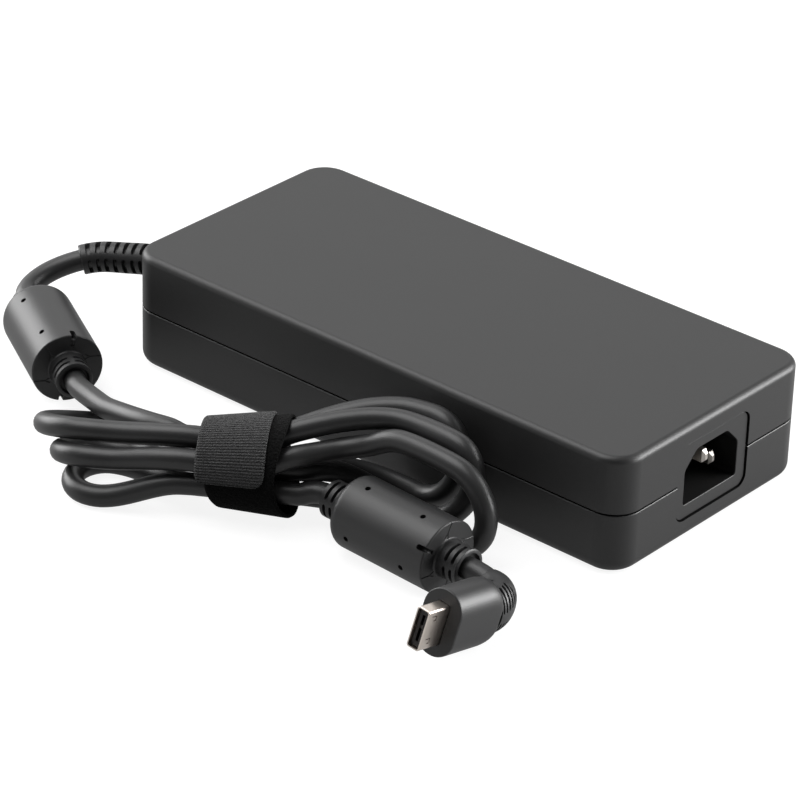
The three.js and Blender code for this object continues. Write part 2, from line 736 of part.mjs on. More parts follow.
// ---- hank -----------------------------------------------------------------------------------
const strand = cordDiameter + hankGap;
const strapRadius = strand + cordRadius + fit + strapThickness + strapSlack;
const waistHeight = strapRadius + strapSlack;
const hankHeading = THREE.MathUtils.degToRad(hankAt.heading);
const along = new THREE.Vector3(Math.cos(hankHeading), Math.sin(hankHeading), 0);
const across = new THREE.Vector3(-Math.sin(hankHeading), Math.cos(hankHeading), 0);
const eastward = new THREE.Vector3(1, 0, 0);
const skyward = new THREE.Vector3(0, 0, 1);

// A place given along the hank, across it and above the floor.
function inHank(distance, side, height) {
  return new THREE.Vector3(hankAt.x, hankAt.y, height)
    .addScaledVector(along, distance).addScaledVector(across, side);
}

function smooth(t) {
  return t * t * (3 - 2 * t);
}

// One strand from the waist to its run: a curve in plan, with the climb spread along it.
// `early` below 1 brings the climb nearer the waist.
function lead(from, fromAlong, to, toAlong, early = 1) {
  const reach = from.distanceTo(to);
  const points = [];
  for (let step = 0; step <= runSteps; step += 1) {
    const t = step / runSteps;
    const point = from.clone().lerp(to, smooth(t))
      .addScaledVector(fromAlong, t * (1 - t) * (1 - t) * reach)
      .addScaledVector(toAlong, -t * t * (1 - t) * reach);
    points.push(point.setZ(THREE.MathUtils.lerp(from.z, to.z, smooth(t ** early))));
  }
  return { points, fromAlong, toAlong };
}

// The strand that lies on another one, turning round it from one angle to a second, and
// swinging past them by `swing` on the way. `spread` widens the distance towards the end.
function beside(base, fromAngle, toAngle, swing = 0, spread = 1) {
  const points = base.points.map((point, step) => {
    const turn = smooth(step / runSteps);
    const angle = THREE.MathUtils.degToRad(
      THREE.MathUtils.lerp(fromAngle, toAngle, turn) + swing * Math.sin(Math.PI * turn));
    let heading = base.fromAlong;
    if (step === runSteps) heading = base.toAlong;
    else if (step) heading = base.points[step + 1].clone().sub(base.points[step - 1]);
    const side = skyward.clone().cross(heading).setZ(0).normalize();
    if (side.y < 0) side.negate();
    const distance = strand * THREE.MathUtils.lerp(1, spread, turn);
    return point.clone().addScaledVector(side, distance * Math.cos(angle))
      .addScaledVector(skyward, distance * Math.sin(angle));
  });
  return { points, fromAlong: base.fromAlong, toAlong: base.toAlong };
}

// The end of a run, carried on to a distance along its direction.
function runOn(strandRun, outward, distance) {
  const end = strandRun.points[runSteps];
  return end.clone().addScaledVector(outward, distance - end.dot(outward));
}

// Half an ellipse from the end of one run to the end of another, out to a tip.
function fold(from, to, outward, tip) {
  const middle = from.clone().lerp(to, 0.5);
  const arm = from.clone().sub(middle);
  const reach = tip - middle.dot(outward);
  const points = [];
  for (let step = 0; step <= foldSteps; step += 1) {
    const angle = Math.PI * step / foldSteps;
    points.push(middle.clone().addScaledVector(arm, Math.cos(angle))
      .addScaledVector(outward, reach * Math.sin(angle)));
  }
  return points;
}

const high = 0.5 * strand;
const wide = Math.sqrt(0.75) * strand;
const waist = {
  backUpper: [wide, waistHeight + high],
  backLower: [wide, waistHeight - high],
  top: [0, waistHeight + strand],
  frontUpper: [-wide, waistHeight + high],
  bottom: [0, waistHeight - strand],
  frontLower: [-wide, waistHeight - high],
};

const rightTop = lead(inHank(waistLift, ...waist.top), along,
  new THREE.Vector3(rightUpperRun.x, rightUpperRun.y, rightUpperRun.z), eastward, 0.45);
const rightBack = beside(rightTop, -30, 0);
const rightFront = beside(rightTop, 210, 194, waistSwing);
const returnFront = lead(inHank(waistReach, ...waist.bottom), along,
  new THREE.Vector3(rightLowerRun.x, rightLowerRun.y, cordRadius), eastward);
const returnMiddle = beside(returnFront, 90, 0);
const returnBack = beside(returnMiddle, -30, 0);

const westward = along.clone().negate();
const leftEnd = -waistReach - leftRunLength;
const farBase = lead(inHank(-waistReach, ...waist.bottom), westward,
  inHank(leftEnd, leftFarRun, cordRadius), westward);
const farTop = beside(farBase, 90, 0);
const farBack = beside(farTop, -30, 0, 0, leftFarSpread);
const near = [waist.top, waist.frontUpper, waist.frontLower].map((spot, index) => (
  lead(inHank(-waistReach, ...spot), westward, inHank(
    leftEnd, leftNearRuns[index].out, cordRadius + leftNearRuns[index].rise), westward)));

// The whole tube, loop by loop, from the side of the first sleeve to that of the second.
const leftOrigin = inHank(0, 0, 0).dot(westward);
const loops = [
  [rightBack, returnBack, farBack, near[0]],
  [rightTop, returnMiddle, farTop, near[1]],
  [rightFront, returnFront, farBase, near[2]],
];
const hankPath = [inHank(-waistReach, ...waist.backUpper)];
loops.forEach(([out, home, away, nearRun], index) => {
  hankPath.push(...out.points,
    ...fold(runOn(out, eastward, rightUpperEnds[index]),
      runOn(home, eastward, rightLowerEnds[index]), eastward, rightTips[index]),
    ...home.points.slice().reverse(),
    ...away.points,
    ...fold(runOn(away, westward, leftOrigin + leftEnds[index]),
      runOn(nearRun, westward, leftOrigin + leftEnds[index]), westward,
      leftOrigin + leftTips[index]),
    ...nearRun.points.slice().reverse());
});
hankPath.push(inHank(waistReach, ...waist.frontLower));

// Least distance between parts of the path that aren't neighbours, less the lead's diameter.
function leastGap(path) {
  const fine = [];
  const lengths = [];
  let travelled = 0;
  for (let index = 1; index < path.length; index += 1) {
    const pieces = Math.ceil(path[index].distanceTo(path[index - 1]));
    for (let piece = 0; piece < pieces; piece += 1) {
      fine.push(path[index - 1].clone().lerp(path[index], piece / pieces));
      lengths.push(travelled + path[index].distanceTo(path[index - 1]) * piece / pieces);
    }
    travelled += path[index].distanceTo(path[index - 1]);
  }
  let least = Infinity;
  for (let first = 0; first < fine.length; first += 1) {
    for (let second = first + 1; second < fine.length; second += 1) {
      if (lengths[second] - lengths[first] > 3 * cordDiameter) {
        least = Math.min(least, fine[first].distanceTo(fine[second]));
      }
    }
  }
  return { gap: least - cordDiameter, travelled };
}

const hankMeasure = leastGap(hankPath);
console.log(`hank: least gap to itself ${hankMeasure.gap.toFixed(2)} mm, `
  + `length ${hankMeasure.travelled.toFixed(0)} mm`);
addPart('cord_hank', ribbedTube(hankPath, hankPath.map(() => cordRadius), hankSides), 'jacket');

// ---- hook-and-loop strap ----------------------------------------------------------------------
// The strap's section at an angle round the hank, from one height to another above its inside.
function strapEdge(degrees, low, top) {
  const angle = THREE.MathUtils.degToRad(degrees);
  const inner = strapRadius - strapThickness;
  const corner = (distance, lift, grow) => inHank(distance,
    (inner + lift + grow) * Math.cos(angle),
    strapRadius + grow + (inner + lift + grow) * Math.sin(angle));
  const half = strapWidth / 2;
  return [corner(-half, low, 0), corner(half, low, strapFlare),
    corner(half, top, strapFlare), corner(-half, top, 0)];
}

function strapLayer(from, to, low, top) {
  const whole = to - from === 360;
  const steps = Math.round(strapSides * (to - from) / 360);
  const sections = [];
  for (let step = 0; step < (whole ? steps : steps + 1); step += 1) {
    sections.push(strapEdge(from + (to - from) * step / steps, low, top));
  }
  return skin(sections, whole);
}

addPart('hook_strap', join(strapLayer(0, 360, 0, strapThickness),
  strapLayer(strapTailFrom, strapTailTo, strapThickness / 2, 2 * strapThickness)), 'strap');

// ---- free stretches of the lead ---------------------------------------------------------------
const hankLeft = inHank(-waistReach - fit, ...waist.backUpper);
const hankRight = inHank(waistReach + fit, ...waist.frontLower);
const secondRoute = route([
  onAxis(ferriteOneAt, ferriteEnd),
  onAxis(ferriteOneAt, ferriteEnd + 3.2),
  [-68.4, -83.0, 11.6],
  [-60.9, -85.6, 12.8],
  [-53.1, -87.3, 14.6],
  [-45.6, -88.9, 16.5],
  [-38.7, -89.5, 17.8],
  [-31.9, -88.8, 18.3],
  hankLeft.clone().addScaledVector(along, -2.4).toArray(),
  hankLeft.toArray(),
]);
addPart('cord_ferrite_to_hank', cordTube(
  new Stretch(secondRoute, 0, secondRoute.getLength()), 12), 'jacket');

const thirdRoute = route([
  hankRight.toArray(),
  hankRight.clone().addScaledVector(along, 2).toArray(),
  [11.2, -77.6, 10.5],
  onAxis(ferriteTwoAt, -ferriteEnd - 3.2),
  onAxis(ferriteTwoAt, -ferriteEnd),
]);
addPart('cord_hank_to_ferrite', cordTube(
  new Stretch(thirdRoute, 0, thirdRoute.getLength()), 6), 'jacket');

// ---- plug -------------------------------------------------------------------------------------
const plugHeading = THREE.MathUtils.degToRad(plugAt.heading);
const plugPitch = THREE.MathUtils.degToRad(plugAt.pitch);
const plugForward = new THREE.Vector3(-Math.sin(plugHeading) * Math.cos(plugPitch),
  -Math.cos(plugHeading) * Math.cos(plugPitch), Math.sin(plugPitch));
const plugSide = new THREE.Vector3(Math.cos(plugHeading), -Math.sin(plugHeading), 0);
const plugUp = plugForward.clone().cross(plugSide);
const plug = new THREE.Group();
plug.name = 'plug';
plug.position.set(plugAt.x, plugAt.y, plugAt.z);
plug.quaternion.setFromRotationMatrix(
  new THREE.Matrix4().makeBasis(plugForward, plugSide, plugUp));
plug.rotateX(-THREE.MathUtils.degToRad(plugAt.lean));
model.add(plug);

function plugRing(x, tall, thick, radius) {
  return roundedOutline(thick, tall, radius).map((point) => new THREE.Vector3(x, point.x, point.y));
}

function plugBody() {
  const rear = plugRearDiameter;
  const full = plugBodyThick / 2;
  const body = skin([
    plugRing(-plugBodyLength, rear, rear, rear / 2 - 0.01),
    plugRing(-plugBodyLength + 0.3, plugBodyTall - 3, plugBodyThick - 0.1, full - 0.07),
    plugRing(-plugBodyLength + 1, plugBodyTall - 1.2, plugBodyThick, full - 0.01),
    plugRing(-plugBodyLength + 2.4, plugBodyTall, plugBodyThick, full - 0.01),
    plugRing(-0.8, plugBodyTall, plugBodyThick, full - 0.01),
    plugRing(0, plugBodyTall - 1.2, plugBodyThick - 1.2, full - 0.61),
  ]);
  return cut(body, block(shellSeat + 1, shellThick + 2 * fit, shellTall + 2 * fit,
    (1 - shellSeat) / 2, 0, -shellTall / 2 - fit));
}

const shellBack = -shellSeat + fit;
function shellBlock(inset, from, to) {
  return skin([from, to].map((x) => plugRing(
    x, shellTall - 2 * inset, shellThick - 2 * inset, Math.max(0.9 - inset, 0.2))));
}

const insulatorInset = shellSheet + fit;
const insulatorFront = shellReach - 1;
const contactSlotDepth = 5;
const contactSlotTall = 7.4;
const contactSlotThick = 2;
addPart('plug_body', plugBody(), 'sleeve', plug);
addPart('plug_shell', cut(shellBlock(0, shellBack, shellReach),
  shellBlock(shellSheet, shellBack - 1, shellReach + 1)), 'nickel', plug);
addPart('plug_insulator', cut(shellBlock(insulatorInset, shellBack, insulatorFront),
  block(contactSlotDepth + 1, contactSlotThick, contactSlotTall,
    insulatorFront + 1 - (contactSlotDepth + 1) / 2, 0, -contactSlotTall / 2),
  barX(contactRadius + fit, plugBodyLength, -plugBodyLength / 2, 0, 0, 8)), 'inletBlack', plug);
addPart('plug_contact', barX(contactRadius, insulatorFront - 1 - shellBack, shellBack, 0, 0, 8),
  'nickel', plug);

const plugRear = new THREE.Vector3(-plugBodyLength - fit, 0, 0);
plug.updateMatrix();
plugRear.applyMatrix4(plug.matrix);
const lastRoute = route([
  onAxis(ferriteTwoAt, ferriteEnd),
  onAxis(ferriteTwoAt, ferriteEnd + 3.2),
  [77, -79.3, 10.4],
  [80.4, -80.4, 9.6],
  [82.5, -82.2, 8.9],
  [83.6, -84.7, 8.4],
  plugRear.clone().addScaledVector(plugForward, -2.4).toArray(),
  plugRear.toArray(),
]);
const lastLength = lastRoute.getLength();

function bootOnPlug() {
  const ribStep = 0.7 * plugBootLength / plugBootRibs;
  const stations = [[0, plugBootTipDiameter], [1.4, plugBootTipDiameter]];
  for (let rib = 0; rib < plugBootRibs; rib += 1) {
    const at = 1.5 + rib * ribStep;
    const width = THREE.MathUtils.lerp(plugBootTipDiameter, plugRearDiameter, at / plugBootLength);
    stations.push([at, width - 0.9], [at + 0.45 * ribStep, width - 0.9],
      [at + 0.45 * ribStep + 0.1, width], [at + 0.9 * ribStep, width]);
  }
  stations.push([plugBootLength, plugRearDiameter]);
  const path = new Stretch(lastRoute, lastLength - plugBootLength, lastLength);
  return ribbedTube(stations.map(([at]) => path.getPoint(at / plugBootLength)),
    stations.map(([, width]) => width / 2), bootSides);
}

addPart('cord_ferrite_to_plug', cordTube(
  new Stretch(lastRoute, 0, lastLength - plugBootLength - 2 * fit), 6), 'jacket');
addPart('plug_boot', bootOnPlug(), 'sleeve');

const leadLength = firstLength + 2 * (ferriteLength + 2 * collarLength) + secondRoute.getLength()
  + hankMeasure.travelled + thirdRoute.getLength() + lastLength;
console.log(`low-voltage lead, case to plug body: ${leadLength.toFixed(0)} mm`);

export default model;
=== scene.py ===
# A laptop power adapter: a dark-grey welded case with a mains inlet at one end, and at the
# other a fixed cord with two ferrite sleeves, folded into a hank under a hook-and-loop strap
# and ended in a slim plug. Metres, +Z up, origin under the middle of the case.
import json
import math

import bmesh
import bpy
from mathutils import Matrix, Vector


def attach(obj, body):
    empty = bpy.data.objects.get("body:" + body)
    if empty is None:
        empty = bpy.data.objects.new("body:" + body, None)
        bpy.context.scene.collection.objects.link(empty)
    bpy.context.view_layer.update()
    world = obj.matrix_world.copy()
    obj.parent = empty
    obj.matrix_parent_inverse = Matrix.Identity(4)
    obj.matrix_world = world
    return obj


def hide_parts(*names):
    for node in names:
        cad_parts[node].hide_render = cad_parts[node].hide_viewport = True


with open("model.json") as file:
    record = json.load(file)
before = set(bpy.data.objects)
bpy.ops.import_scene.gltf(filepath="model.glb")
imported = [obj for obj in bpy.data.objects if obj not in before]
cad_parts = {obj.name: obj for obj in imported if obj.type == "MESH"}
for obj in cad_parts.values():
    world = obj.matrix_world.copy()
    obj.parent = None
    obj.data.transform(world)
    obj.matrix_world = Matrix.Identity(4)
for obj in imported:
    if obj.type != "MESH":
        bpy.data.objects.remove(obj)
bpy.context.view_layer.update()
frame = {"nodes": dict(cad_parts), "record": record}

# ---- camera ----
# The photograph's viewpoint: high over the corner between the inlet end and the long side,
# through a long lens, with the horizon a little tilted.
turn, rise, roll = (math.radians(angle) for angle in (40.0613, 29.05, 1.7789))
rightward = Vector((math.cos(turn), math.sin(turn), 0))
towards_camera = Vector((math.sin(turn) * math.cos(rise), -math.cos(turn) * math.cos(rise),
                         math.sin(rise)))
upward = towards_camera.cross(rightward)
image_x = rightward * math.cos(roll) + upward * math.sin(roll)
image_y = upward * math.cos(roll) - rightward * math.sin(roll)


def new_object(name, data):
    """An object in the scene, from a mesh, a curve, a camera or a lamp."""
    made = bpy.data.objects.new(name, data)
    bpy.context.collection.objects.link(made)
    return made


camera = new_object("camera", bpy.data.cameras.new("camera"))
camera.data.sensor_width = 36
camera.data.lens = 180.24
camera.data.clip_start = 0.05
camera.data.clip_end = 60
camera.matrix_world = (Matrix.Translation((0.651418, -0.801469, 0.577394))
                       @ Matrix((image_x, image_y, towards_camera)).transposed().to_4x4())
bpy.context.scene.camera = camera

# ---- cord ----
# One length of round cable, 6.5 mm thick with a smooth soft jacket. It leaves the case in its
# boot, runs through both ferrite sleeves and three loops of the hank, and ends in the plug.
cord_radius = 0.00325
boot_exit = Vector((-0.0930, -0.0165, 0.0190))
sleeve_radius = 0.0108
sleeve_one = {"at": (-0.1041, -0.0651), "heading": -29.5, "roll": 31.7, "notch": 46.5}
sleeve_two = {"at": (0.0441, -0.0776), "heading": -2.8, "roll": 11.6, "notch": 134.7}


def on_axis(sleeve, distance):
    """A point on a ferrite sleeve's axis, at a distance from its middle."""
    angle = math.radians(sleeve["heading"])
    x, y = sleeve["at"]
    return Vector((x + distance * math.cos(angle), y + distance * math.sin(angle), sleeve_radius))


first_stretch = [
    boot_exit, (-0.1000, -0.0165, 0.0190), (-0.1080, -0.0172, 0.0186), (-0.1165, -0.0202, 0.0175),
    (-0.1246, -0.0250, 0.0167), (-0.1302, -0.0315, 0.0149), (-0.1332, -0.0388, 0.0129),
    (-0.1328, -0.0460, 0.0113), on_axis(sleeve_one, -0.0295), on_axis(sleeve_one, -0.0263),
]

# The hank: strands 7.7 mm apart, stacked three high and two deep under the strap.
strand = 0.0077
strap_radius = 0.01295
waist_height = strap_radius + 0.0005
waist_reach = 0.0153
run_steps, fold_steps = 6, 8
hank_middle, hank_heading = (-0.0095, -0.0835), math.radians(33)
along = Vector((math.cos(hank_heading), math.sin(hank_heading), 0))
across = Vector((-math.sin(hank_heading), math.cos(hank_heading), 0))
eastward = Vector((1, 0, 0))
westward = -along
skyward = Vector((0, 0, 1))


def in_hank(distance, side, height):
    """A place given along the hank, across it and above the floor."""
    return Vector((*hank_middle, height)) + along * distance + across * side


def smooth(t):
    return t * t * (3 - 2 * t)


def lead(start, start_heading, end, end_heading, early=1):
    """A strand from the waist to its run: a curve in plan, the climb spread along it."""
    reach = (start - end).length
    points = []
    for step in range(run_steps + 1):
        t = step / run_steps
        point = start.lerp(end, smooth(t)) + start_heading * (t * (1 - t) ** 2 * reach)
        point -= end_heading * (t * t * (1 - t) * reach)
        point.z = start.z + (end.z - start.z) * smooth(t ** early)
        points.append(point)
    return points, start_heading, end_heading


def beside(base, from_angle, to_angle, swing=0, spread=1):
    """The strand that lies on another one, turning round it from one angle to a second."""
    base_points, start_heading, end_heading = base
    middle_headings = [after - before for before, after in zip(base_points, base_points[2:])]
    headings = [start_heading, *middle_headings, end_heading]
    points = []
    for step, (point, heading) in enumerate(zip(base_points, headings)):
        share = smooth(step / run_steps)
        angle = math.radians(
            from_angle + (to_angle - from_angle) * share + swing * math.sin(math.pi * share))
        side = skyward.cross(heading)
        side.z = 0
        side.normalize()
        if side.y < 0:
            side.negate()
        distance = strand * (1 + (spread - 1) * share)
        points.append(point + side * (distance * math.cos(angle))
                      + skyward * (distance * math.sin(angle)))
    return points, start_heading, end_heading


def run_on(strand_run, outward, distance):
    """The end of a run, carried on to a distance in its direction."""
    end = strand_run[0][-1]
    return end + outward * (distance - end.dot(outward))


def fold(start, end, outward, tip):
    """Half an ellipse from the end of one run to the end of another, out to a tip."""
    middle = start.lerp(end, 0.5)
    arm = start - middle
    reach = tip - middle.dot(outward)
    turns = [math.pi * step / fold_steps for step in range(fold_steps + 1)]
    return [middle + arm * math.cos(a) + outward * (reach * math.sin(a)) for a in turns]


high, wide = 0.5 * strand, math.sqrt(0.75) * strand
back_upper = (wide, waist_height + high)
top_strand, bottom_strand = (0, waist_height + strand), (0, waist_height - strand)
front_upper, front_lower = (-wide, waist_height + high), (-wide, waist_height - high)

right_top = lead(in_hank(0.006, *top_strand), along, Vector((0.0310, -0.0552, 0.0302)),
                 eastward, early=0.45)
right_back = beside(right_top, -30, 0)
right_front = beside(right_top, 210, 194, swing=38)
return_front = lead(in_hank(waist_reach, *bottom_strand), along,
                    Vector((0.0250, -0.0632, cord_radius)), eastward)
return_middle = beside(return_front, 90, 0)
return_back = beside(return_middle, -30, 0)

left_end = -waist_reach - 0.025
far_base = lead(in_hank(-waist_reach, *bottom_strand), westward,
                in_hank(left_end, 0.012, cord_radius), westward)
far_top = beside(far_base, 90, 0)
far_back = beside(far_top, -30, 0, spread=1.85)
near = [
    lead(in_hank(-waist_reach, *spot), westward, in_hank(left_end, out, cord_radius + lift), westward)
    for spot, out, lift in ((top_strand, 0.0024, 0.0156), (front_upper, -0.0030, 0.0100),
                            (front_lower, -0.0072, 0.0))
]

left_origin = in_hank(0, 0, 0).dot(westward)
hank = [in_hank(-waist_reach, *back_upper)]
for out_run, home_run, away_run, near_run, ends in (
    (right_back, return_back, far_back, near[0], (0.0315, 0.0260, 0.0400, 0.0425, 0.0604)),
    (right_top, return_middle, far_top, near[1], (0.0440, 0.0350, 0.0505, 0.0410, 0.0536)),
    (right_front, return_front, far_base, near[2], (0.0490, 0.0500, 0.0626, 0.0400, 0.0490)),
):
    upper_end, lower_end, right_tip, left_run_end, left_tip = ends
    hank += out_run[0]
    hank += fold(run_on(out_run, eastward, upper_end), run_on(home_run, eastward, lower_end),
                 eastward, right_tip)
    hank += home_run[0][::-1] + away_run[0]
    hank += fold(run_on(away_run, westward, left_origin + left_run_end),
                 run_on(near_run, westward, left_origin + left_run_end), westward,
                 left_origin + left_tip)
    hank += near_run[0][::-1]
hank.append(in_hank(waist_reach, *front_lower))

second_stretch = [
    on_axis(sleeve_one, 0.0263), on_axis(sleeve_one, 0.0295), (-0.0684, -0.0830, 0.0116),
    (-0.0609, -0.0856, 0.0128), (-0.0531, -0.0873, 0.0146), (-0.0456, -0.0889, 0.0165),
    (-0.0387, -0.0895, 0.0178), (-0.0319, -0.0888, 0.0183),
    in_hank(-waist_reach - 0.0027, *back_upper),
]
third_stretch = [
    in_hank(waist_reach + 0.0023, *front_lower), (0.0112, -0.0776, 0.0105),
    on_axis(sleeve_two, -0.0295), on_axis(sleeve_two, -0.0263),
]

# The plug's pose: nose out of the picture to the lower left, tipped up, its top leaning right.
plug_heading, plug_pitch, plug_lean = (math.radians(angle) for angle in (-2, 14, 7))
plug_nose = Vector((-math.sin(plug_heading) * math.cos(plug_pitch),
                    -math.cos(plug_heading) * math.cos(plug_pitch), math.sin(plug_pitch)))
plug_side = Vector((math.cos(plug_heading), -math.sin(plug_heading), 0))
plug_top = plug_nose.cross(plug_side)
leaned_side = plug_side * math.cos(plug_lean) - plug_top * math.sin(plug_lean)
leaned_top = plug_top * math.cos(plug_lean) + plug_side * math.sin(plug_lean)
plug_pose = (Matrix.Translation((0.0846, -0.1090, 0.0136))
             @ Matrix((plug_nose, leaned_side, leaned_top)).transposed().to_4x4())
plug_rear = plug_pose @ Vector((-0.0203, 0, 0))
last_stretch = [
    on_axis(sleeve_two, 0.0263), on_axis(sleeve_two, 0.0295), (0.0770, -0.0793, 0.0104),
    (0.0804, -0.0804, 0.0096), (0.0825, -0.0822, 0.0089), (0.0836, -0.0847, 0.0084),
    plug_rear - plug_nose * 0.0024, plug_rear,
]


fine_step = 0.0004


def smoothed(stations, spacing):
    """A smooth line through the stations, nowhere lower than the cord lies on the floor."""
    points = [Vector(stations[0])]
    for station in map(Vector, stations[1:]):
        if (station - points[-1]).length > fine_step:
            points.append(station)
    ends = [points[0] * 2 - points[1], *points, points[-1] * 2 - points[-2]]
    line = []
    for a, b, c, d in zip(ends, ends[1:], ends[2:], ends[3:]):
        ab, bc, cd = (max((q - p).length, 1e-6) ** 0.5 for p, q in ((a, b), (b, c), (c, d)))
        leave = (b - a) / ab - (c - a) / (ab + bc) + (c - b) / bc
        arrive = (c - b) / bc - (d - b) / (bc + cd) + (d - c) / cd
        count = max(int((c - b).length / fine_step), 2)
        for step in range(count):
            t = step / count
            line.append(b * (2 * t**3 - 3 * t**2 + 1) + leave * bc * (t**3 - 2 * t**2 + t)
                        + c * (3 * t**2 - 2 * t**3) + arrive * bc * (t**3 - t**2))
    line.append(points[-1])
    for point in line:
        point.z = max(point.z, cord_radius)
    return spaced(line, spacing)


def spaced(line, spacing):
    """The same line through points at even distances."""
    total = sum((q - p).length for p, q in zip(line, line[1:]))
    step = total / round(total / spacing)
    points, travelled = [line[0].copy()], 0.0
    for p, q in zip(line, line[1:]):
        length = (q - p).length
        while length and travelled + length >= step * len(points) - 1e-12:
            points.append(p.lerp(q, (step * len(points) - travelled) / length))
        travelled += length
    if (points[-1] - line[-1]).length > spacing / 2:
        points.append(line[-1].copy())
    return points


cord_line = smoothed(
    first_stretch + second_stretch + hank + third_stretch + last_stretch, 0.0015)
cord_curve = bpy.data.curves.new("cord", "CURVE")
cord_curve.dimensions = "3D"
cord_curve.bevel_depth = cord_radius
cord_curve.bevel_resolution = 7
cord_curve.use_fill_caps = True
cord_spline = cord_curve.splines.new("POLY")
cord_spline.points.add(len(cord_line) - 1)
for knot, point in zip(cord_spline.points, cord_line):
    knot.co = (*point, 1)
cord_spline.use_smooth = True
cord = new_object("cord", cord_curve)

# ---- case ----
# Two moulded shells, 186 x 86 x 37 mm, welded along a lip; a groove with painted shade shows where they
# part.
# Filled polycarbonate with a fine spark-eroded grain, satin, in dark grey.
case_length, case_width, case_height = 0.186, 0.086, 0.037
case_wall, case_corner = 0.0024, 0.009
upper_edge, lower_edge = 0.0022, 0.0039
parting, groove = 0.0190, 0.0005
rim_rise, rim_chamfer = 0.0002, 0.00015
cut_inside, cut_outside = 0.0890, 0.0940
inlet_side, window_side = -0.0008, -0.0004
boot_side, bore_radius = -0.0165, 0.0043


def lofted(name, rings, around=False):
    """A closed skin through rings of points, capped at both ends or closed on itself."""
    count = len(rings[0])
    faces = []
    for index in range(len(rings) if around else len(rings) - 1):
        a, b = index * count, (index + 1) % len(rings) * count
        for side in range(count):
            after = (side + 1) % count
            faces.append((a + side, a + after, b + after, b + side))
    if not around:
        faces.append(tuple(range(count))[::-1])
        faces.append(tuple(range((len(rings) - 1) * count, len(rings) * count)))
    mesh = bpy.data.meshes.new(name)
    mesh.from_pydata([tuple(point) for ring in rings for point in ring], [], faces)
    shell = bmesh.new()
    shell.from_mesh(mesh)
    bmesh.ops.recalc_face_normals(shell, faces=shell.faces)
    shell.to_mesh(mesh)
    shell.free()
    return new_object(name, mesh)


def kept(piece):
    """Puts the result of the piece's modifiers into its mesh."""
    shape = bpy.data.meshes.new_from_object(
        piece.evaluated_get(bpy.context.evaluated_depsgraph_get()))
    piece.modifiers.clear()
    piece.data = shape


def carved(piece, tools, operation="DIFFERENCE"):
    """Cuts each tool out of the piece, or joins it on, and removes the tool."""
    for tool in tools:
        step = piece.modifiers.new("carve", "BOOLEAN")
        step.operation = operation
        step.solver = "EXACT"
        step.use_self = True
        step.object = tool
    kept(piece)
    for tool in tools:
        bpy.data.objects.remove(tool)


def joined(name, pieces):
    """One object from several, which keep their own skins."""
    whole = bmesh.new()
    for piece in pieces:
        whole.from_mesh(piece.data)
        bpy.data.objects.remove(piece)
    mesh = bpy.data.meshes.new(name)
    whole.to_mesh(mesh)
    whole.free()
    return new_object(name, mesh)


def eased(piece, degrees, width=0.0):
    """Shades faces smooth up to the angle, and rounds the edges past it if given a width."""
    if width:
        edge = piece.modifiers.new("edges", "BEVEL")
        edge.width = width
        edge.segments = 3
        edge.limit_method = "ANGLE"
        edge.angle_limit = math.radians(degrees)
        kept(piece)
    piece.data.shade_smooth()
    piece.data.set_sharp_from_angle(angle=math.radians(degrees))
    weight = piece.modifiers.new("flat faces stay flat", "WEIGHTED_NORMAL")
    weight.keep_sharp = True
    kept(piece)


def rounded_outline(width, height, radius, steps=8):
    """Points round a rectangle with rounded corners, in its own plane."""
    points = []
    for quarter, sign_x, sign_y in ((0, 1, 1), (1, -1, 1), (2, -1, -1), (3, 1, -1)):
        for step in range(steps + 1):
            angle = (quarter + step / steps) * math.pi / 2
            points.append((sign_x * (width / 2 - radius) + radius * math.cos(angle),
                           sign_y * (height / 2 - radius) + radius * math.sin(angle)))
    return points


def box_between(name, low, high):
    """A plain block between two corners."""
    outline = [(low[0], low[1]), (high[0], low[1]), (high[0], high[1]), (low[0], high[1])]
    return lofted(name, [[(x, y, z) for x, y in outline] for z in (low[2], high[2])])


def rod(name, radius, start, end, sides=24):
    """A round bar from one point to another."""
    start, end = Vector(start), Vector(end)
    aim = (end - start).normalized()
    side = aim.orthogonal().normalized()
    other = aim.cross(side)
    turns = [2 * math.pi * step / sides for step in range(sides)]
    return lofted(name, [[centre + (side * math.cos(a) + other * math.sin(a)) * radius for a in turns]
                         for centre in (start, end)])


socket_kinds = {"Colour": "NodeSocketColor", "Shade": "NodeSocketColor",
                "Normal": "NodeSocketVector", "Direction": "NodeSocketVector"}


def new_group(name, inputs, outputs):
    """A node group with its input and output nodes, its sockets given as labels."""
    group = bpy.data.node_groups.new(name, "ShaderNodeTree")
    for in_out, labels in (("INPUT", inputs), ("OUTPUT", outputs)):
        for label in labels:
            group.interface.new_socket(
                label, in_out=in_out, socket_type=socket_kinds.get(label, "NodeSocketFloat"))
    return group, group.nodes.new("NodeGroupInput"), group.nodes.new("NodeGroupOutput")


def fill(node, entries):
    """Sets a node's inputs, by label or number, each to a value or from a (node, output)."""
    for label, entry in entries.items():
        if isinstance(entry, tuple) and isinstance(entry[0], bpy.types.Node):
            node.id_data.links.new(entry[0].outputs[entry[1]], node.inputs[label])
        else:
            node.inputs[label].default_value = entry


def new_node(tree, kind, entries, **settings):
    """A shader node with its settings and its inputs."""
    node = tree.nodes.new("ShaderNode" + kind)
    for setting, value in settings.items():
        setattr(node, setting, value)
    fill(node, entries)
    return node


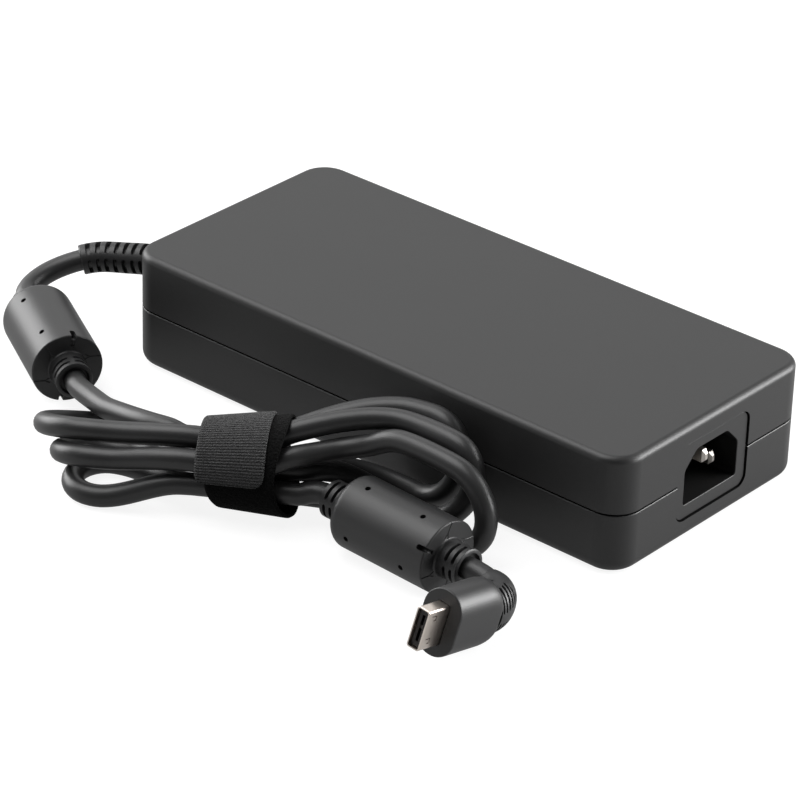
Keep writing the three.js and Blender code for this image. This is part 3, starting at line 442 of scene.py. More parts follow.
# Moulded plastic and rubber: a fine grain, faint cloudy changes of tone and of gloss.
moulded, given, result = new_group(
    "moulded surface", ("Colour", "Roughness", "Grain scale", "Grain depth", "Clouds"),
    ("Colour", "Roughness", "Normal"))
place = (new_node(moulded, "TexCoord", {}), "Object")
grain = new_node(moulded, "TexNoise", {"Vector": place, "Scale": (given, "Grain scale"), "Detail": 3})
cloud = new_node(moulded, "TexNoise", {"Vector": place, "Scale": 28, "Detail": 4})
bump = new_node(moulded, "Bump", {
    "Strength": (given, "Grain depth"), "Distance": 0.0001, "Height": (grain, "Fac")})
low_tone = new_node(moulded, "Math", {0: 1, 1: (given, "Clouds")}, operation="SUBTRACT")
high_tone = new_node(moulded, "Math", {0: 1, 1: (given, "Clouds")}, operation="ADD")
tone = new_node(moulded, "MapRange", {
    "Value": (cloud, "Fac"), "From Min": 0.3, "From Max": 0.7, "To Min": (low_tone, 0),
    "To Max": (high_tone, 0)})
tint = new_node(moulded, "VectorMath", {
    0: (given, "Colour"), "Scale": (tone, "Result")}, operation="SCALE")
gloss = new_node(moulded, "Math", {
    0: (given, "Roughness"), 1: (tone, "Result")}, operation="MULTIPLY")
fill(result, {"Colour": (tint, "Vector"), "Roughness": (gloss, 0), "Normal": (bump, "Normal")})


def surface(name, group, settings, metallic=0.0, roughness=None, specular=0.5):
    """A material whose colour, gloss and grain come from one of the shared effects."""
    material = bpy.data.materials.new(name)
    material.use_nodes = True
    effect = material.node_tree.nodes.new("ShaderNodeGroup")
    effect.node_tree = group
    fill(effect, {label: (*value, 1) if label in ("Colour", "Shade") else value
                  for label, value in settings.items()})
    fill(material.node_tree.nodes["Principled BSDF"], {
        "Metallic": metallic, "Specular IOR Level": specular, "Base Color": (effect, "Colour"),
        "Normal": (effect, "Normal"),
        "Roughness": (effect, "Roughness") if roughness is None else roughness})
    return material


def moulded_look(name, colour, roughness, scale, depth, clouds, **shader):
    """A moulded material: colour, gloss, scale and depth of its grain, and cloudiness."""
    return surface(name, moulded, {
        "Colour": colour, "Roughness": roughness, "Grain scale": scale, "Grain depth": depth,
        "Clouds": clouds}, **shader)


stood_for = set()


def dress(piece, material, slot, *nodes):
    """Gives a finished piece its material, its body and the nodes it stands for; its slot is not used.
    """
    piece.data.materials.clear()
    piece.data.materials.append(material)
    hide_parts(*nodes)
    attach(piece, "root")
    stood_for.update(nodes)


case_plastic = moulded_look("dark grey case plastic", (0.017, 0.017, 0.0172), 0.45, 5200, 0.16, 0.02)
# Near-black material that paints the shade inside the parting groove and the gap round the inlet.
joint_shade_plastic = moulded_look(
    "case plastic darkened as painted joint shade", (0.004, 0.004, 0.004), 0.70, 5200, 0.16, 0.02, specular=0.1)


def case_ring(z, inset=0.0):
    radius = max(case_corner - inset, 0.0005)
    outline = rounded_outline(case_length - 2 * inset, case_width - 2 * inset, radius, 12)
    return [(x, y, z) for x, y in outline]


def case_shell(name, rim, edge, radius, floor, towards):
    """One shell as a closed skin: outer face, rounded edge, walls, rim and inner face."""
    rings = []
    for step in range(9):
        angle = math.pi / 2 * (1 - step / 8)
        inset = radius * (1 - math.cos(angle))
        rings.append(case_ring(edge - towards * radius * (1 - math.sin(angle)), inset))
    return lofted(name, rings + [case_ring(rim + towards * rim_rise), case_ring(rim, rim_chamfer),
                                 case_ring(rim, case_wall), case_ring(floor, case_wall)])


def inlet_window():
    outline = rounded_outline(0.0326, 0.0246, 0.0036)
    return lofted("inlet window", [[(x, window_side + y, parting + z) for y, z in outline]
                                   for x in (cut_inside, cut_outside)])


def boot_bore():
    return rod("boot bore", bore_radius, (-cut_outside, boot_side, parting),
               (-cut_inside, boot_side, parting), 40)


def paint_joint_shade(shell):
    """Darkens the faces that line the parting groove and the inlet's gap: painted shade."""
    shell.data.materials.append(joint_shade_plastic)
    for face in shell.data.polygons:
        above, aside = abs(face.center.z - parting), abs(face.center.y - inlet_side)
        in_groove = above < 0.0009 and abs(face.normal.z) > 0.9
        in_wall = 0.0892 < face.center.x < 0.0929 and abs(face.normal.x) < 0.3
        at_inlet = in_wall and aside < 0.0170 and above < 0.0126
        face.material_index = 1 if in_groove or at_inlet else 0


upper_shell = case_shell("upper_case_shell", parting + groove / 2, case_height, upper_edge,
                         case_height - case_wall, 1)
carved(upper_shell, [inlet_window(), boot_bore()])
eased(upper_shell, 32)
dress(upper_shell, case_plastic, "case_shell", "upper_cover")
paint_joint_shade(upper_shell)

lower_shell = case_shell("lower_case_shell", parting - groove / 2, 0.0, lower_edge, case_wall, -1)
lip = lofted("lip", [case_ring(z, inset) for z, inset in (
    (0.0168, 0.0022), (0.0186, 0.0022), (0.0186, 0.0027), (0.0203, 0.0027), (0.0203, 0.0037),
    (0.0168, 0.0037))], around=True)
carved(lip, [box_between("gap", (0.0855, -0.0215, 0.0100), (0.0920, 0.0199, 0.0300)),
             box_between("gap", (-0.0920, -0.0240, 0.0100), (-0.0880, -0.0090, 0.0300))])
carved(lower_shell, [inlet_window(), boot_bore()])
lower_shell = joined("lower_case_shell", [lower_shell, lip])
eased(lower_shell, 32)
dress(lower_shell, case_plastic, "case_shell", "lower_cover")
paint_joint_shade(lower_shell)

# ---- mains inlet ----
# A moulded socket for a three-pin cord set, 24.4 x 16.4 mm inside, held behind the end walls.
# Same grey plastic outside; three nickel-plated pins stand in its dark cavity.
flange_back, flange_front = 0.0894, 0.0925
opening_middle, opening_half_width, opening_half_height, opening_cut = 0.0195, 0.0122, 0.0082, 0.0052
barrel_wall = 0.0022


def opening_ring(x, grow=0.0, soft=0.0012):
    """The opening's outline, a rectangle with two cut corners, its corners slightly rounded."""
    half, top = opening_half_width + grow, opening_half_height + grow
    cut_side, cut_top = half - opening_cut, top - opening_cut
    corners = [(half, -top), (half, cut_top), (cut_side, top), (-cut_side, top), (-half, cut_top),
               (-half, -top)]
    points = []
    for index, corner in enumerate(corners):
        here = Vector(corner)
        before = (Vector(corners[index - 1]) - here).normalized()
        after = (Vector(corners[(index + 1) % 6]) - here).normalized()
        for step in range(7):
            t = step / 6
            points.append(here + before * soft * (1 - t) ** 2 + after * soft * t**2)
    return [(x, inlet_side + point.x, opening_middle + point.y) for point in points]


flange_outline = rounded_outline(0.0319, 0.0239, 0.0032)
housing = lofted("mains_inlet_housing", [
    [(x, window_side + y, parting + z) for y, z in flange_outline] for x in (flange_back, flange_front)])
barrel = lofted("barrel", [opening_ring(x, barrel_wall) for x in (0.0737, 0.0914)])
keeper = box_between("keeper", (0.0888, -0.0186, 0.0055), (0.0903, 0.0170, 0.0325))
carved(housing, [barrel, keeper], "UNION")
carved(housing, [lofted("cavity", [opening_ring(x) for x in (0.0759, 0.0934)])])
eased(housing, 40, width=0.00025)
cavity_plastic = moulded_look(
    "black cavity plastic", (0.006, 0.006, 0.006), 0.60, 5200, 0.16, 0.02, specular=0.2)
dress(housing, case_plastic, "black_plastic", "inlet_housing")
housing.data.materials.append(cavity_plastic)
for face in housing.data.polygons:
    inside = (abs(face.center.y - inlet_side) < opening_half_width + 0.0003
              and abs(face.center.z - opening_middle) < opening_half_height + 0.0003)
    face.material_index = 1 if inside and face.center.x < flange_front - 0.0003 else 0

pin_metal = moulded_look(
    "nickel-plated pin", (0.60, 0.57, 0.53), 0.36, 1800, 0.06, 0.08, metallic=1)
pin_thick, pin_tall, pin_foot, point_length = 0.0020, 0.0040, 0.0687, 0.0010
for pin_name, pin_node, side, middle, tip in (
    ("line_contact_pin", "line_pin", 0.0062, 0.0170, 0.0882),
    ("neutral_contact_pin", "neutral_pin", -0.0078, 0.0170, 0.0870),
    ("earth_contact_pin", "earth_pin", -0.0008, 0.0215, 0.0908),
):
    sections = ((pin_foot, 0.0, 0.0), (tip - point_length, 0.0, 0.0), (tip, 0.0011, 0.0005))
    pin = lofted(pin_name, [
        [(x, side + y, middle + z) for y, z in rounded_outline(
            pin_thick - 2 * thinner, pin_tall - 2 * lower, 0.0002, 3)]
        for x, lower, thinner in sections])
    eased(pin, 22)
    dress(pin, pin_metal, "nickel", pin_node)

# ---- boot at the case ----
# A soft strain relief, 38.6 mm long and 10 mm thick, moulded onto the cord and held by a flange
# behind the end wall. Slits in four rows, with smooth spines between them, let it bend.
rubber = moulded_look("grey-black soft overmould", (0.022, 0.022, 0.0225), 0.41, 2600, 0.10, 0.05)
boot_length, boot_radius, boot_taper = 0.0386, 0.0050, 0.00035
boot_foot = 0.0060
boot_slits = [boot_length - 0.0028 - 0.00308 * index for index in range(11)]
boot_rings, boot_sides = 420, 192


def sleeve_along(name, line, stations, sides, dent):
    """A skin round a line from (distance, radius) stations, its rings turning evenly with the
    line. dent(distance, angle) comes off the radius; angles run from the level side over the top."""
    reach = [0.0]
    for p, q in zip(line, line[1:]):
        reach.append(reach[-1] + (q - p).length)
    rings, leg = [], 0
    for distance, radius in stations:
        while leg < len(line) - 2 and reach[leg + 1] < distance:
            leg += 1
        while leg > 0 and reach[leg] > distance:
            leg -= 1
        share = (distance - reach[leg]) / (reach[leg + 1] - reach[leg])
        centre = line[leg].lerp(line[leg + 1], share)
        leaving = (line[leg + 1] - line[max(leg - 1, 0)]).normalized()
        reaching = (line[min(leg + 2, len(line) - 1)] - line[leg]).normalized()
        aim = leaving.lerp(reaching, share).normalized()
        side = skyward.cross(aim).normalized()
        top = aim.cross(side)
        ring = []
        for step in range(sides):
            angle = 2 * math.pi * step / sides
            size = radius - dent(distance, angle)
            ring.append(centre + (side * math.cos(angle) + top * math.sin(angle)) * size)
        rings.append(ring)
    return lofted(name, rings)


slit_rim = 1.15


def slit_depth(distance, angle, places, half_width, first_row, half_row, radius, depth, wall=0.15):
    """Depth of a sleeve's slits at a point: round-ended grooves at places along it, in four rows
    a quarter turn apart. Their walls slope inside the rim, over a share of the half width."""
    for place in places:
        u = abs(distance - place) / half_width
        if u > slit_rim:
            continue
        for quarter in range(4):
            row = math.radians(first_row + 90 * quarter)
            off = abs((angle - row + math.pi) % (2 * math.pi) - math.pi)
            v = max(off - math.radians(half_row), 0) * radius / half_width
            inside = slit_rim - math.hypot(u, v)
            if inside > 0:
                return depth * smooth(min(inside / wall, 1))
    return 0


def boot_dent(distance, angle):
    return slit_depth(distance - boot_foot, angle, boot_slits, half_width=0.00062,
                      first_row=74, half_row=26, radius=0.0048, depth=0.0014)


boot_line = [boot_exit + Vector((boot_foot, 0, 0)), boot_exit + Vector((boot_foot / 2, 0, 0))]
boot_line += cord_line[:40]
boot_stations = [(0.0014, 0.0058), (0.0015, 0.0062), (0.0032, 0.0062), (0.0033, 0.0040),
                 (0.0062, 0.0040), (0.0063, 0.0049), (0.0066, boot_radius)]
for step in range(1, boot_rings):
    along_boot = 0.0006 + (boot_length - 0.0010) * step / boot_rings
    boot_stations.append((boot_foot + along_boot, boot_radius - boot_taper * along_boot / boot_length))
boot_end = boot_foot + boot_length
boot_stations += [(boot_end - 0.0002, 0.00455), (boot_end, 0.0044), (boot_end, 0.0036),
                  (boot_end - 0.0009, 0.0034)]
boot = sleeve_along("cord_strain_relief", boot_line, boot_stations, boot_sides, boot_dent)
eased(boot, 48)
dress(boot, rubber, "overmould", "cord_boot")

# ---- ferrite sleeves ----
# Two alike, 36 mm long and 21.6 mm thick: a ferrite tube in a soft overmould with slotted
# collars. The pins that held the tube in the mould have left four holes near each end.
collar_radius, collar_end, sleeve_half = 0.0056, 0.0260, 0.0180
round_rim, crisp_rim = 0.0030, 0.0005
sleeve_middle = 0.0300
collar_slits = (-0.0240, -0.0216, 0.0216, 0.0240)
hole_radius, hole_station, notch_radius, seam_radius = 0.00085, 0.0104, 0.0008, 0.0002


def collar_dent(distance, angle):
    return slit_depth(distance - sleeve_middle, angle, collar_slits, half_width=0.00042,
                      first_row=15, half_row=31, radius=collar_radius, depth=0.0020)


def ferrite_profile():
    """Stations from the adapter side, with its rounded rim, to the crisp plug side."""
    lip_end = [(0.0248, 0.0042), (collar_end, 0.0045), (collar_end, 0.0052)]
    stations = [(-distance, radius) for distance, radius in lip_end]
    stations += [(-0.0257 + 0.00012 * step, collar_radius) for step in range(60)]
    stations += [(-0.0182, 0.0058), (-sleeve_half, 0.0061)]
    for angle in range(0, 91, 9):
        turned = math.radians(angle)
        stations.append((-sleeve_half + round_rim * (1 - math.cos(turned)),
                         sleeve_radius - round_rim * (1 - math.sin(turned))))
    stations += [(-0.015 + 0.0008 * step, sleeve_radius) for step in range(1, 40)]
    for angle in range(0, 91, 18):
        turned = math.radians(angle)
        stations.append((sleeve_half - crisp_rim + crisp_rim * math.sin(turned),
                         sleeve_radius - crisp_rim * (1 - math.cos(turned))))
    stations += [(sleeve_half, 0.0061), (0.0182, 0.0058)]
    stations += [(0.0257 - 0.00012 * step, collar_radius) for step in range(59, -1, -1)]
    return stations + lip_end[::-1]


def out_at(angle):
    """The direction straight out from a sleeve's axis, at an angle round it."""
    return Vector((0, math.cos(angle), math.sin(angle)))


def spoke(name, radius, foot, out, low, high):
    """A round cutter that stands on a sleeve's axis, between two distances from it."""
    return rod(name, radius, foot + out * low, foot + out * high)


for number, sleeve in ((1, sleeve_one), (2, sleeve_two)):
    axis_line = [Vector((-sleeve_middle + 0.0020 * step, 0, 0)) for step in range(31)]
    stations = [(distance + sleeve_middle, radius) for distance, radius in ferrite_profile()]
    moulding = sleeve_along(f"ferrite_sleeve_{number}", axis_line, stations, 144, collar_dent)
    tools = []
    for station in (-hole_station, hole_station):
        for quarter in range(4):
            tools.append(spoke("hole", hole_radius, Vector((station, 0, 0)),
                               out_at(math.radians(90 * quarter)), 0.0080, 0.0120))
    end_face = Vector((sleeve_half, 0, 0))
    notch_foot, past_end = Vector((0.0155, 0, 0)), Vector((0.004, 0, 0))
    for degrees in (sleeve["notch"], sleeve["notch"] + 180):
        out = out_at(math.radians(degrees))
        tools.append(spoke("notch", notch_radius, notch_foot, out, 0.0086, 0.0120))
        for height in (0.0098, 0.0106):
            notch_floor = notch_foot + out * height
            tools.append(rod("notch", notch_radius, notch_floor, notch_floor + past_end))
        tools.append(spoke("groove", 0.0006, end_face, out, 0.0072, 0.0112))
        for aside in (-55, 55):
            at = math.radians(degrees + aside)
            inner, fork, branch, rim = (
                end_face + out_at(turned) * reach for turned, reach in (
                    (at, 0.0052), (at, 0.0076), (at + 0.22, 0.0066), (at - 0.16, 0.0112)))
            for start, end in ((inner, fork), (fork, rim), (fork, branch)):
                tools.append(rod("seam", seam_radius, start, end, 8))
    carved(moulding, [joined("tools", tools)])
    eased(moulding, 40)
    pose = (Matrix.Translation((*sleeve["at"], sleeve_radius))
            @ Matrix.Rotation(math.radians(sleeve["heading"]), 4, "Z")
            @ Matrix.Rotation(math.radians(sleeve["roll"]), 4, "X"))
    moulding.data.transform(pose)
    dress(moulding, rubber, "overmould", f"ferrite_{number}_overmould")

# ---- hook-and-loop strap ----
# One 20 mm strip of tape, 1 mm thick, wound one and a half times round the strands and closed on
# itself. Soft pile faces out on the inner turn, which wanders to the right; the free end shows
# its ribbed back and has rounded corners.
strap_inner, strap_thick, strap_half = 0.01115, 0.0010, 0.0100
strap_start, strap_finish, overlap_from = 20, 538, 345
strap_flare, strap_corner, turn_gap = 0.0022, 0.0032, 0.00012
strap_middle, strap_mean_radius = 0.01335, 0.0130
strap_drift, drift_changes = 0.0034, ((90, 175, -0.0022), (175, 275, 0.0046), (285, 410, -0.0074))
rib_pitch, rib_depth, weave_scale = 0.00078, 0.00022, 5200
columns, inner_rows, outer_rows = 44, 220, 520


def eased_share(value, begin, end):
    return smooth(min(max((value - begin) / (end - begin), 0), 1))


def strap_point(degrees, crosswise, height):
    """A point of the strip: angle round the hank, place across the strip, height in it."""
    turn_angle = math.radians(degrees)
    overlap = eased_share(degrees, overlap_from, overlap_from + 36)
    drift = strap_drift
    for begin, end, change in drift_changes:
        drift += change * eased_share(degrees, begin, end)
    place_across = crosswise + drift
    grow = strap_flare * (place_across + strap_half) / (2 * strap_half)
    size = strap_inner + overlap * (strap_thick + turn_gap) + height + grow
    level = strap_middle + 0.5 * grow + size * math.sin(turn_angle)
    return in_hank(place_across, size * math.cos(turn_angle), max(level, 0.0002))


def length_left(degrees):
    """How far an angle lies from the free end, measured along the strip."""
    return math.radians(strap_finish - degrees) * strap_mean_radius


def strap_reach(degrees):
    """Half the strip's width at an angle, less at the rounded corners of the free end."""
    to_end = length_left(degrees)
    if to_end >= strap_corner:
        return strap_half
    round_off = math.sqrt(max(strap_corner**2 - (strap_corner - to_end) ** 2, 0))
    return strap_half - strap_corner + round_off


strap_rings = []
for row in range(inner_rows + outer_rows + 1):
    if row < inner_rows:
        degrees = strap_start + (overlap_from - strap_start) * row / inner_rows
    else:
        degrees = overlap_from + (strap_finish - overlap_from) * (row - inner_rows) / outer_rows
    reach = strap_reach(degrees)
    travelled = math.radians(degrees) * strap_mean_radius
    rib = -rib_depth * abs(math.cos(math.pi * travelled / rib_pitch)) ** 5 if row > inner_rows else 0
    end_press = 0.0002 * max(1 - length_left(degrees) / 0.0012, 0)
    places_across = [reach * (2 * column / columns - 1) for column in range(columns + 1)]
    ring = []
    for crosswise in places_across:
        edge_drop = 0.00035 * max(abs(crosswise) / strap_half - 0.95, 0) / 0.05
        weave = rib * (1 + 0.4 * math.sin(crosswise * weave_scale + row * 1.7))
        ring.append(strap_point(degrees, crosswise, strap_thick + weave - edge_drop - end_press))
    strap_rings.append(ring + [strap_point(degrees, place, 0.0) for place in places_across[::-1]])
strap = lofted("hook_and_loop_strap", strap_rings)
strap.data.shade_smooth()
strap.data.set_sharp_from_angle(angle=math.radians(60))

woven, given, result = new_group(
    "woven tape", ("Colour", "Shade", "Loop scale"), ("Colour", "Normal"))
place = (new_node(woven, "TexCoord", {}), "Object")
loops = new_node(woven, "TexVoronoi", {"Vector": place, "Scale": (given, "Loop scale")})
fuzz = new_node(woven, "TexNoise", {"Vector": place, "Scale": (given, "Loop scale"), "Detail": 4})
pile = new_node(woven, "Math", {0: (fuzz, "Fac"), 1: (loops, "Distance")}, operation="SUBTRACT")
blend = new_node(woven, "Mix", {
    "Factor": (fuzz, "Fac"), "A": (given, "Shade"), "B": (given, "Colour")}, data_type="RGBA")
bump = new_node(woven, "Bump", {"Strength": 0.9, "Distance": 0.00035, "Height": (pile, 0)})
fill(result, {"Colour": (blend, "Result"), "Normal": (bump, "Normal")})
ribbed_tape = surface("ribbed back of the tape", woven, {
    "Colour": (0.105, 0.105, 0.106), "Shade": (0.014, 0.014, 0.014), "Loop scale": 2300},
    roughness=0.85, specular=0.3)
pile_tape = surface("soft pile of the tape", woven, {
    "Colour": (0.011, 0.011, 0.011), "Shade": (0.003, 0.003, 0.003), "Loop scale": 1300},
    roughness=0.95, specular=0.08)
dress(strap, ribbed_tape, "strap_fabric", "hook_strap")
strap.data.materials.append(pile_tape)
ring_size = 2 * columns + 2
for face in strap.data.polygons:
    face.material_index = 0 if min(face.vertices) // ring_size >= inner_rows else 1

# ---- plug ----
# A stadium-shaped overmould 20 mm long, 19.7 x 12.8 mm, on a folded steel shell with a black
# insulator. The moulding rounds off at the back and passes into a slotted boot.
shell_back = -0.0037
shell_tall, shell_thick, shell_sheet, shell_front = 0.0120, 0.0042, 0.0004, 0.0088


def plug_ring(x, tall, thick, radius):
    return [(x, y, z) for y, z in rounded_outline(thick, tall, radius, 10)]


plug_back = -0.0201
plug_moulding = lofted("plug_moulding", [
    plug_ring(x, tall, thick, thick / 2 - 0.00005) for x, tall, thick in (
        (plug_back, 0.0142, 0.0116), (-0.0200, 0.0156, 0.0121), (-0.0198, 0.0166, 0.0125),
        (-0.0194, 0.0176, 0.0127), (-0.0188, 0.0184, 0.0128), (-0.0180, 0.0190, 0.0128),
        (-0.0168, 0.0195, 0.0128), (-0.0152, 0.0197, 0.0128), (-0.0008, 0.0197, 0.0128),
        (-0.0004, 0.0196, 0.0127), (-0.0001, 0.0193, 0.0124), (0.0, 0.0190, 0.0121))])
carved(plug_moulding, [
    lofted("seat", [plug_ring(x, 0.0124, 0.0046, 0.0011) for x in (-0.0040, 0.0010)])])
eased(plug_moulding, 34)
plug_moulding.data.transform(plug_pose)
dress(plug_moulding, rubber, "overmould", "plug_body")

shell_metal = moulded_look(
    "nickel-plated plug shell", (0.72, 0.65, 0.59), 0.30, 1500, 0.08, 0.12, metallic=1)
shell = lofted("plug_metal_shell", [
    plug_ring(x, shell_tall - 2 * inset, shell_thick - 2 * inset, 0.0008 - inset / 2)
    for x, inset in ((shell_back, 0), (shell_front - 0.0001, 0), (shell_front, 0.0001),
                     (shell_front, shell_sheet), (shell_back, shell_sheet))], around=True)
latches = []
for level in (-0.0034, 0.0034):
    for x_low, x_high, low_edge, high_edge in (
            (0.0050, 0.0070, 0.0007, 0.0010), (0.0050, 0.0053, -0.0006, 0.0010),
            (0.0050, 0.0061, -0.0006, -0.0003)):
        for side_low, side_high in ((-0.0024, -0.0016), (0.0016, 0.0024)):
            latches.append(box_between("latch", (x_low, side_low, level + low_edge),
                                       (x_high, side_high, level + high_edge)))
carved(shell, [joined("latches", latches)])
eased(shell, 30)
shell.data.transform(plug_pose)
dress(shell, shell_metal, "nickel", "plug_shell")

insulator_plastic = moulded_look("black insulator", (0.014, 0.011, 0.010), 0.4, 2600, 0.05, 0.05)
insulator = lofted("plug_contact_carrier", [
    plug_ring(x, 0.0110 - 2 * inset, 0.0032 - 2 * inset, 0.0004) for x, inset in (
        (shell_back, 0), (0.0076, 0), (0.0078, 0.0002))])
carved(insulator, [
    lofted("slot", [plug_ring(x, 0.0078, 0.0009, 0.0002) for x in (0.0020, 0.0090)])])
eased(insulator, 30)
insulator.data.transform(plug_pose)
dress(insulator, insulator_plastic, "black_plastic", "plug_insulator")

# ---- boot at the plug ----
# The tail of the plug's overmould, 14 mm along the cord, growing from the cord's width to the
# plug's. Close slits, in planes square to the plug, run in rows between its spines.
tail_length, tail_thin, tail_growth, tail_taller = 0.0140, 0.0036, 0.0029, 0.0008
tail_slits = [0.0009 + 0.00145 * index for index in range(6)]
tail_rings, tail_sides = 360, 240
tail = smoothed(cord_line[-16:], 0.0003)
tail_start = sum((q - p).length for p, q in zip(tail, tail[1:])) - tail_length


def taller(distance, angle):
    """The tail is taller than wide towards the plug, so less than nothing comes off its height."""
    return -tail_taller * (distance - tail_start) / tail_length * math.sin(angle) ** 2


tail_stations = [(tail_start + 0.0008, 0.0032), (tail_start, 0.0033), (tail_start + 0.0002, tail_thin)]
for step in range(1, tail_rings + 1):
    share = step / tail_rings
    tail_stations.append((tail_start + 0.0002 + (tail_length - 0.0002) * share,
                          tail_thin + tail_growth * math.sin(share * math.pi / 2) ** 0.9))
plug_tail = sleeve_along("plug_strain_relief", tail, tail_stations, tail_sides, taller)
to_plug = plug_pose.inverted()
tail_points = plug_tail.data.vertices
for first in range(tail_rings // 2 * tail_sides, len(tail_points), tail_sides):
    ring = [tail_points[first + step].co.copy() for step in range(tail_sides)]
    centre = sum(ring, Vector()) / tail_sides
    for step, point in enumerate(ring):
        behind = plug_back - (to_plug @ point).x
        depth = slit_depth(behind, 2 * math.pi * step / tail_sides, tail_slits, half_width=0.00032,
                           first_row=38, half_row=28, radius=0.0058, depth=0.0010, wall=0.4)
        tail_points[first + step].co = point + (centre - point).normalized() * depth
eased(plug_tail, 48)
dress(plug_tail, rubber, "overmould", "plug_boot")

# ---- cord jacket ----
# A smooth, soft, grey-black jacket, extruded over the cable's two conductors. The boots, the
# sleeves and the plug are moulded onto it and go with it.
jacket = moulded_look("grey-black cord jacket", (0.024, 0.024, 0.0245), 0.40, 1600, 0.06, 0.06)
cord_curve.materials.append(jacket)
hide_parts("cord_case_to_ferrite", "cord_ferrite_to_hank", "cord_hank",
            "cord_hank_to_ferrite", "cord_ferrite_to_plug")
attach(cord, "root")

# ---- inside the case ----
# The parts that the closed case hides keep their solids: laminate board, sheet aluminium,
# wound copper, ferrite, sleeved cans, lacquered discs and moulded packages.

# Wound wire and brushed sheet: fine parallel bands along one axis.
banded, given, result = new_group(
    "banded surface", ("Colour", "Shade", "Band scale", "Band depth", "Direction"),
    ("Colour", "Normal"))
place = (new_node(banded, "TexCoord", {}), "Object")
stretch = new_node(banded, "VectorMath", {0: place, 1: (given, "Direction")}, operation="MULTIPLY")
wave = new_node(banded, "TexNoise", {
    "Vector": (stretch, "Vector"), "Scale": (given, "Band scale"), "Detail": 2})
blend = new_node(banded, "Mix", {
    "Factor": (wave, "Fac"), "A": (given, "Shade"), "B": (given, "Colour")}, data_type="RGBA")
bump = new_node(banded, "Bump", {
    "Strength": (given, "Band depth"), "Distance": 0.0003, "Height": (wave, "Fac")})
fill(result, {"Colour": (blend, "Result"), "Normal": (bump, "Normal")})

inner_looks = {"nickel": pin_metal}
for slot, name, colour, roughness, scale, depth, clouds, metallic in (
    ("board", "green laminate", (0.028, 0.110, 0.045), 0.45, 900, 0.05, 0.10, 0),
    ("film", "milky polyester film", (0.70, 0.66, 0.48), 0.35, 400, 0.03, 0.04, 0),
    ("thermal_pad", "grey silicone pad", (0.26, 0.27, 0.30), 0.85, 1200, 0.25, 0.06, 0),
    ("film_box", "yellow capacitor box", (0.56, 0.42, 0.09), 0.4, 1500, 0.05, 0.05, 0),
    ("ceramic", "blue lacquer", (0.025, 0.110, 0.310), 0.25, 500, 0.08, 0.08, 0),
    ("ferrite", "ground ferrite", (0.020, 0.020, 0.022), 0.55, 2200, 0.15, 0.10, 0.2),
    ("can_sleeve", "shrunk capacitor sleeve", (0.012, 0.016, 0.024), 0.28, 700, 0.05, 0.06, 0),
    ("epoxy", "moulded epoxy", (0.011, 0.011, 0.012), 0.6, 2600, 0.15, 0.05, 0),
):
    inner_looks[slot] = moulded_look(name, colour, roughness, scale, depth, clouds, metallic=metallic)
for tint_name, colour in (("black", (0.008, 0.008, 0.008)), ("white", (0.66, 0.66, 0.62)),
                          ("green", (0.03, 0.21, 0.03)), ("yellow", (0.60, 0.39, 0.04))):
    inner_looks[f"lead_{tint_name}"] = moulded_look(
        f"{tint_name} wire insulation", colour, 0.4, 1500, 0.04, 0.04)
for slot, name, colour, shade, scale, depth, direction, metallic, roughness in (
    ("aluminium", "rolled aluminium", (0.62, 0.63, 0.64), (0.50, 0.51, 0.52), 60, 0.10,
     (2, 60, 60), 1, 0.42),
    ("copper", "enamelled copper winding", (0.55, 0.20, 0.06), (0.20, 0.05, 0.01), 40, 0.8,
     (30, 2, 30), 0.7, 0.35),
    ("tape", "amber winding tape", (0.62, 0.40, 0.06), (0.50, 0.30, 0.04), 12, 0.3,
     (2, 2, 30), 0, 0.3),
):
    inner_looks[slot] = surface(name, banded, {
        "Colour": colour, "Shade": shade, "Band scale": scale, "Band depth": depth,
        "Direction": direction}, metallic=metallic, roughness=roughness)
stood_for.update(name for name in frame["nodes"] if name.startswith("cord_"))
for part in frame["record"]["subparts"]:
    if part["node"] not in stood_for:
        solid = frame["nodes"][part["node"]].data
        solid.materials.clear()
        solid.materials.append(inner_looks[part["material_slot"]])

# ---- studio ----
# White paper without a horizon. It looks almost white, glows less in what the plastic mirrors,
# and throws little light back from below, which keeps the sides of the object dark.
floor_reach = 6
floor_mesh = bpy.data.meshes.new("studio_floor")
floor_mesh.from_pydata(
    [(x * floor_reach, y * floor_reach, 0) for x, y in ((-1, -1), (1, -1), (1, 1), (-1, 1))],
    [], [(0, 1, 2, 3)])
floor = new_object("studio_floor", floor_mesh)
paper = bpy.data.materials.new("white studio paper")
paper.use_nodes = True
tree = paper.node_tree
mirrored_glow, extra_glow = 0.35, 0.53
path = new_node(tree, "LightPath", {})
glow = new_node(tree, "Math", {
    0: (path, "Is Camera Ray"), 1: extra_glow, 2: mirrored_glow}, operation="MULTIPLY_ADD")
seen = new_node(tree, "Math", {
    0: (path, "Is Camera Ray"), 1: (path, "Is Glossy Ray")}, operation="MAXIMUM")
bright = tree.nodes["Principled BSDF"]
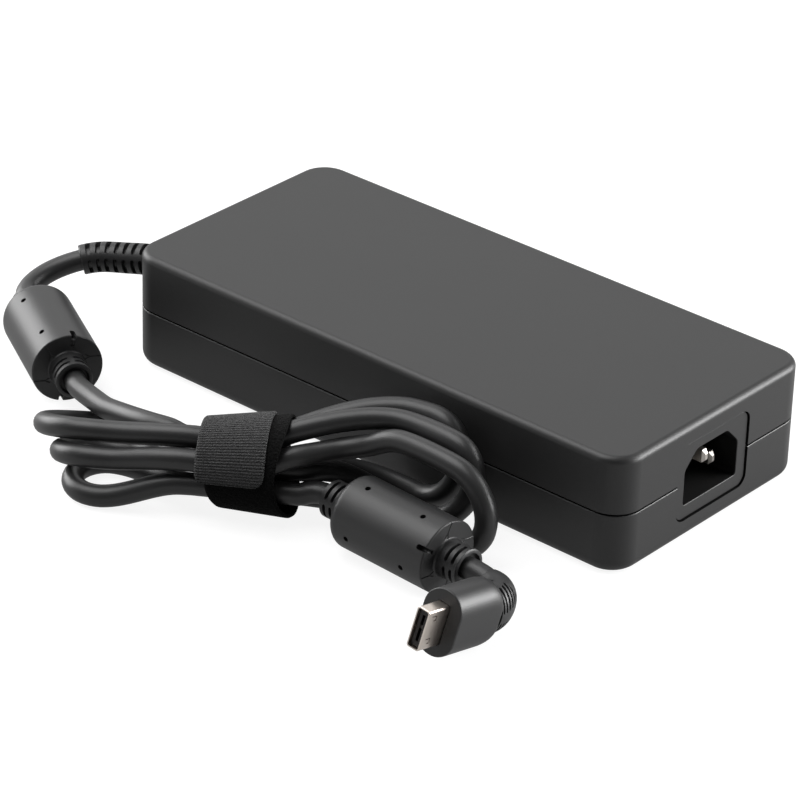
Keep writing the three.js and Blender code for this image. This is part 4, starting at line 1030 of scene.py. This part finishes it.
fill(bright, {"Base Color": (0.22, 0.22, 0.22, 1), "Roughness": 0.9, "Specular IOR Level": 0,
              "Emission Color": (1, 1, 1, 1), "Emission Strength": (glow, 0)})
dark = new_node(tree, "BsdfDiffuse", {"Color": (0.20, 0.20, 0.20, 1)})
choice = new_node(tree, "MixShader", {"Fac": (seen, 0), 1: (dark, "BSDF"), 2: (bright, "BSDF")})
fill(tree.nodes["Material Output"], {"Surface": (choice, "Shader")})
floor_mesh.materials.append(paper)

# The backdrop is white to the eye and a weak even light to everything else.
world = bpy.data.worlds.new("studio")
world.use_nodes = True
bpy.context.scene.world = world
tree = world.node_tree
ambient = tree.nodes["Background"]
fill(ambient, {"Color": (1, 1, 1, 1), "Strength": 0.12})
backdrop = new_node(tree, "Background", {"Color": (1, 1, 1, 1), "Strength": 1.0})
path = new_node(tree, "LightPath", {})
choice = new_node(tree, "MixShader", {
    "Fac": (path, "Is Camera Ray"), 1: (ambient, "Background"), 2: (backdrop, "Background")})
fill(tree.nodes["World Output"], {"Surface": (choice, "Shader")})


def softbox(name, place, target, width, depth, power):
    lamp = bpy.data.lights.new(name, "AREA")
    lamp.shape = "RECTANGLE"
    lamp.size, lamp.size_y = width, depth
    lamp.energy = power
    holder = new_object(name, lamp)
    holder.location = place
    aim = Vector(place) - Vector(target)
    holder.rotation_euler = aim.to_track_quat("Z", "Y").to_euler()


# The back boxes make the sheen of the top and the line along its edge, the right box that of the
# end face and the left box those of the sleeves and loops; the overhead box lifts the rest.
softbox("overhead box", (-0.45, -0.28, 1.28), (0, 0, 0), 1.2, 1.0, power=15)
softbox("back left box", (-0.86, 1.02, 0.78), (0, 0, 0.02), 1.7, 1.2, power=6.3)
softbox("back right box", (0.78, 1.02, 0.86), (0.05, 0, 0.02), 1.0, 0.8, power=8)
softbox("right box", (1.02, 1.02, 0.33), (0.05, 0, 0.02), 1.1, 0.6, power=33)
softbox("left box", (-1.38, -0.20, 0.50), (0, -0.05, 0.02), 1.1, 0.9, power=20)

bpy.context.scene.view_settings.view_transform = "Standard"
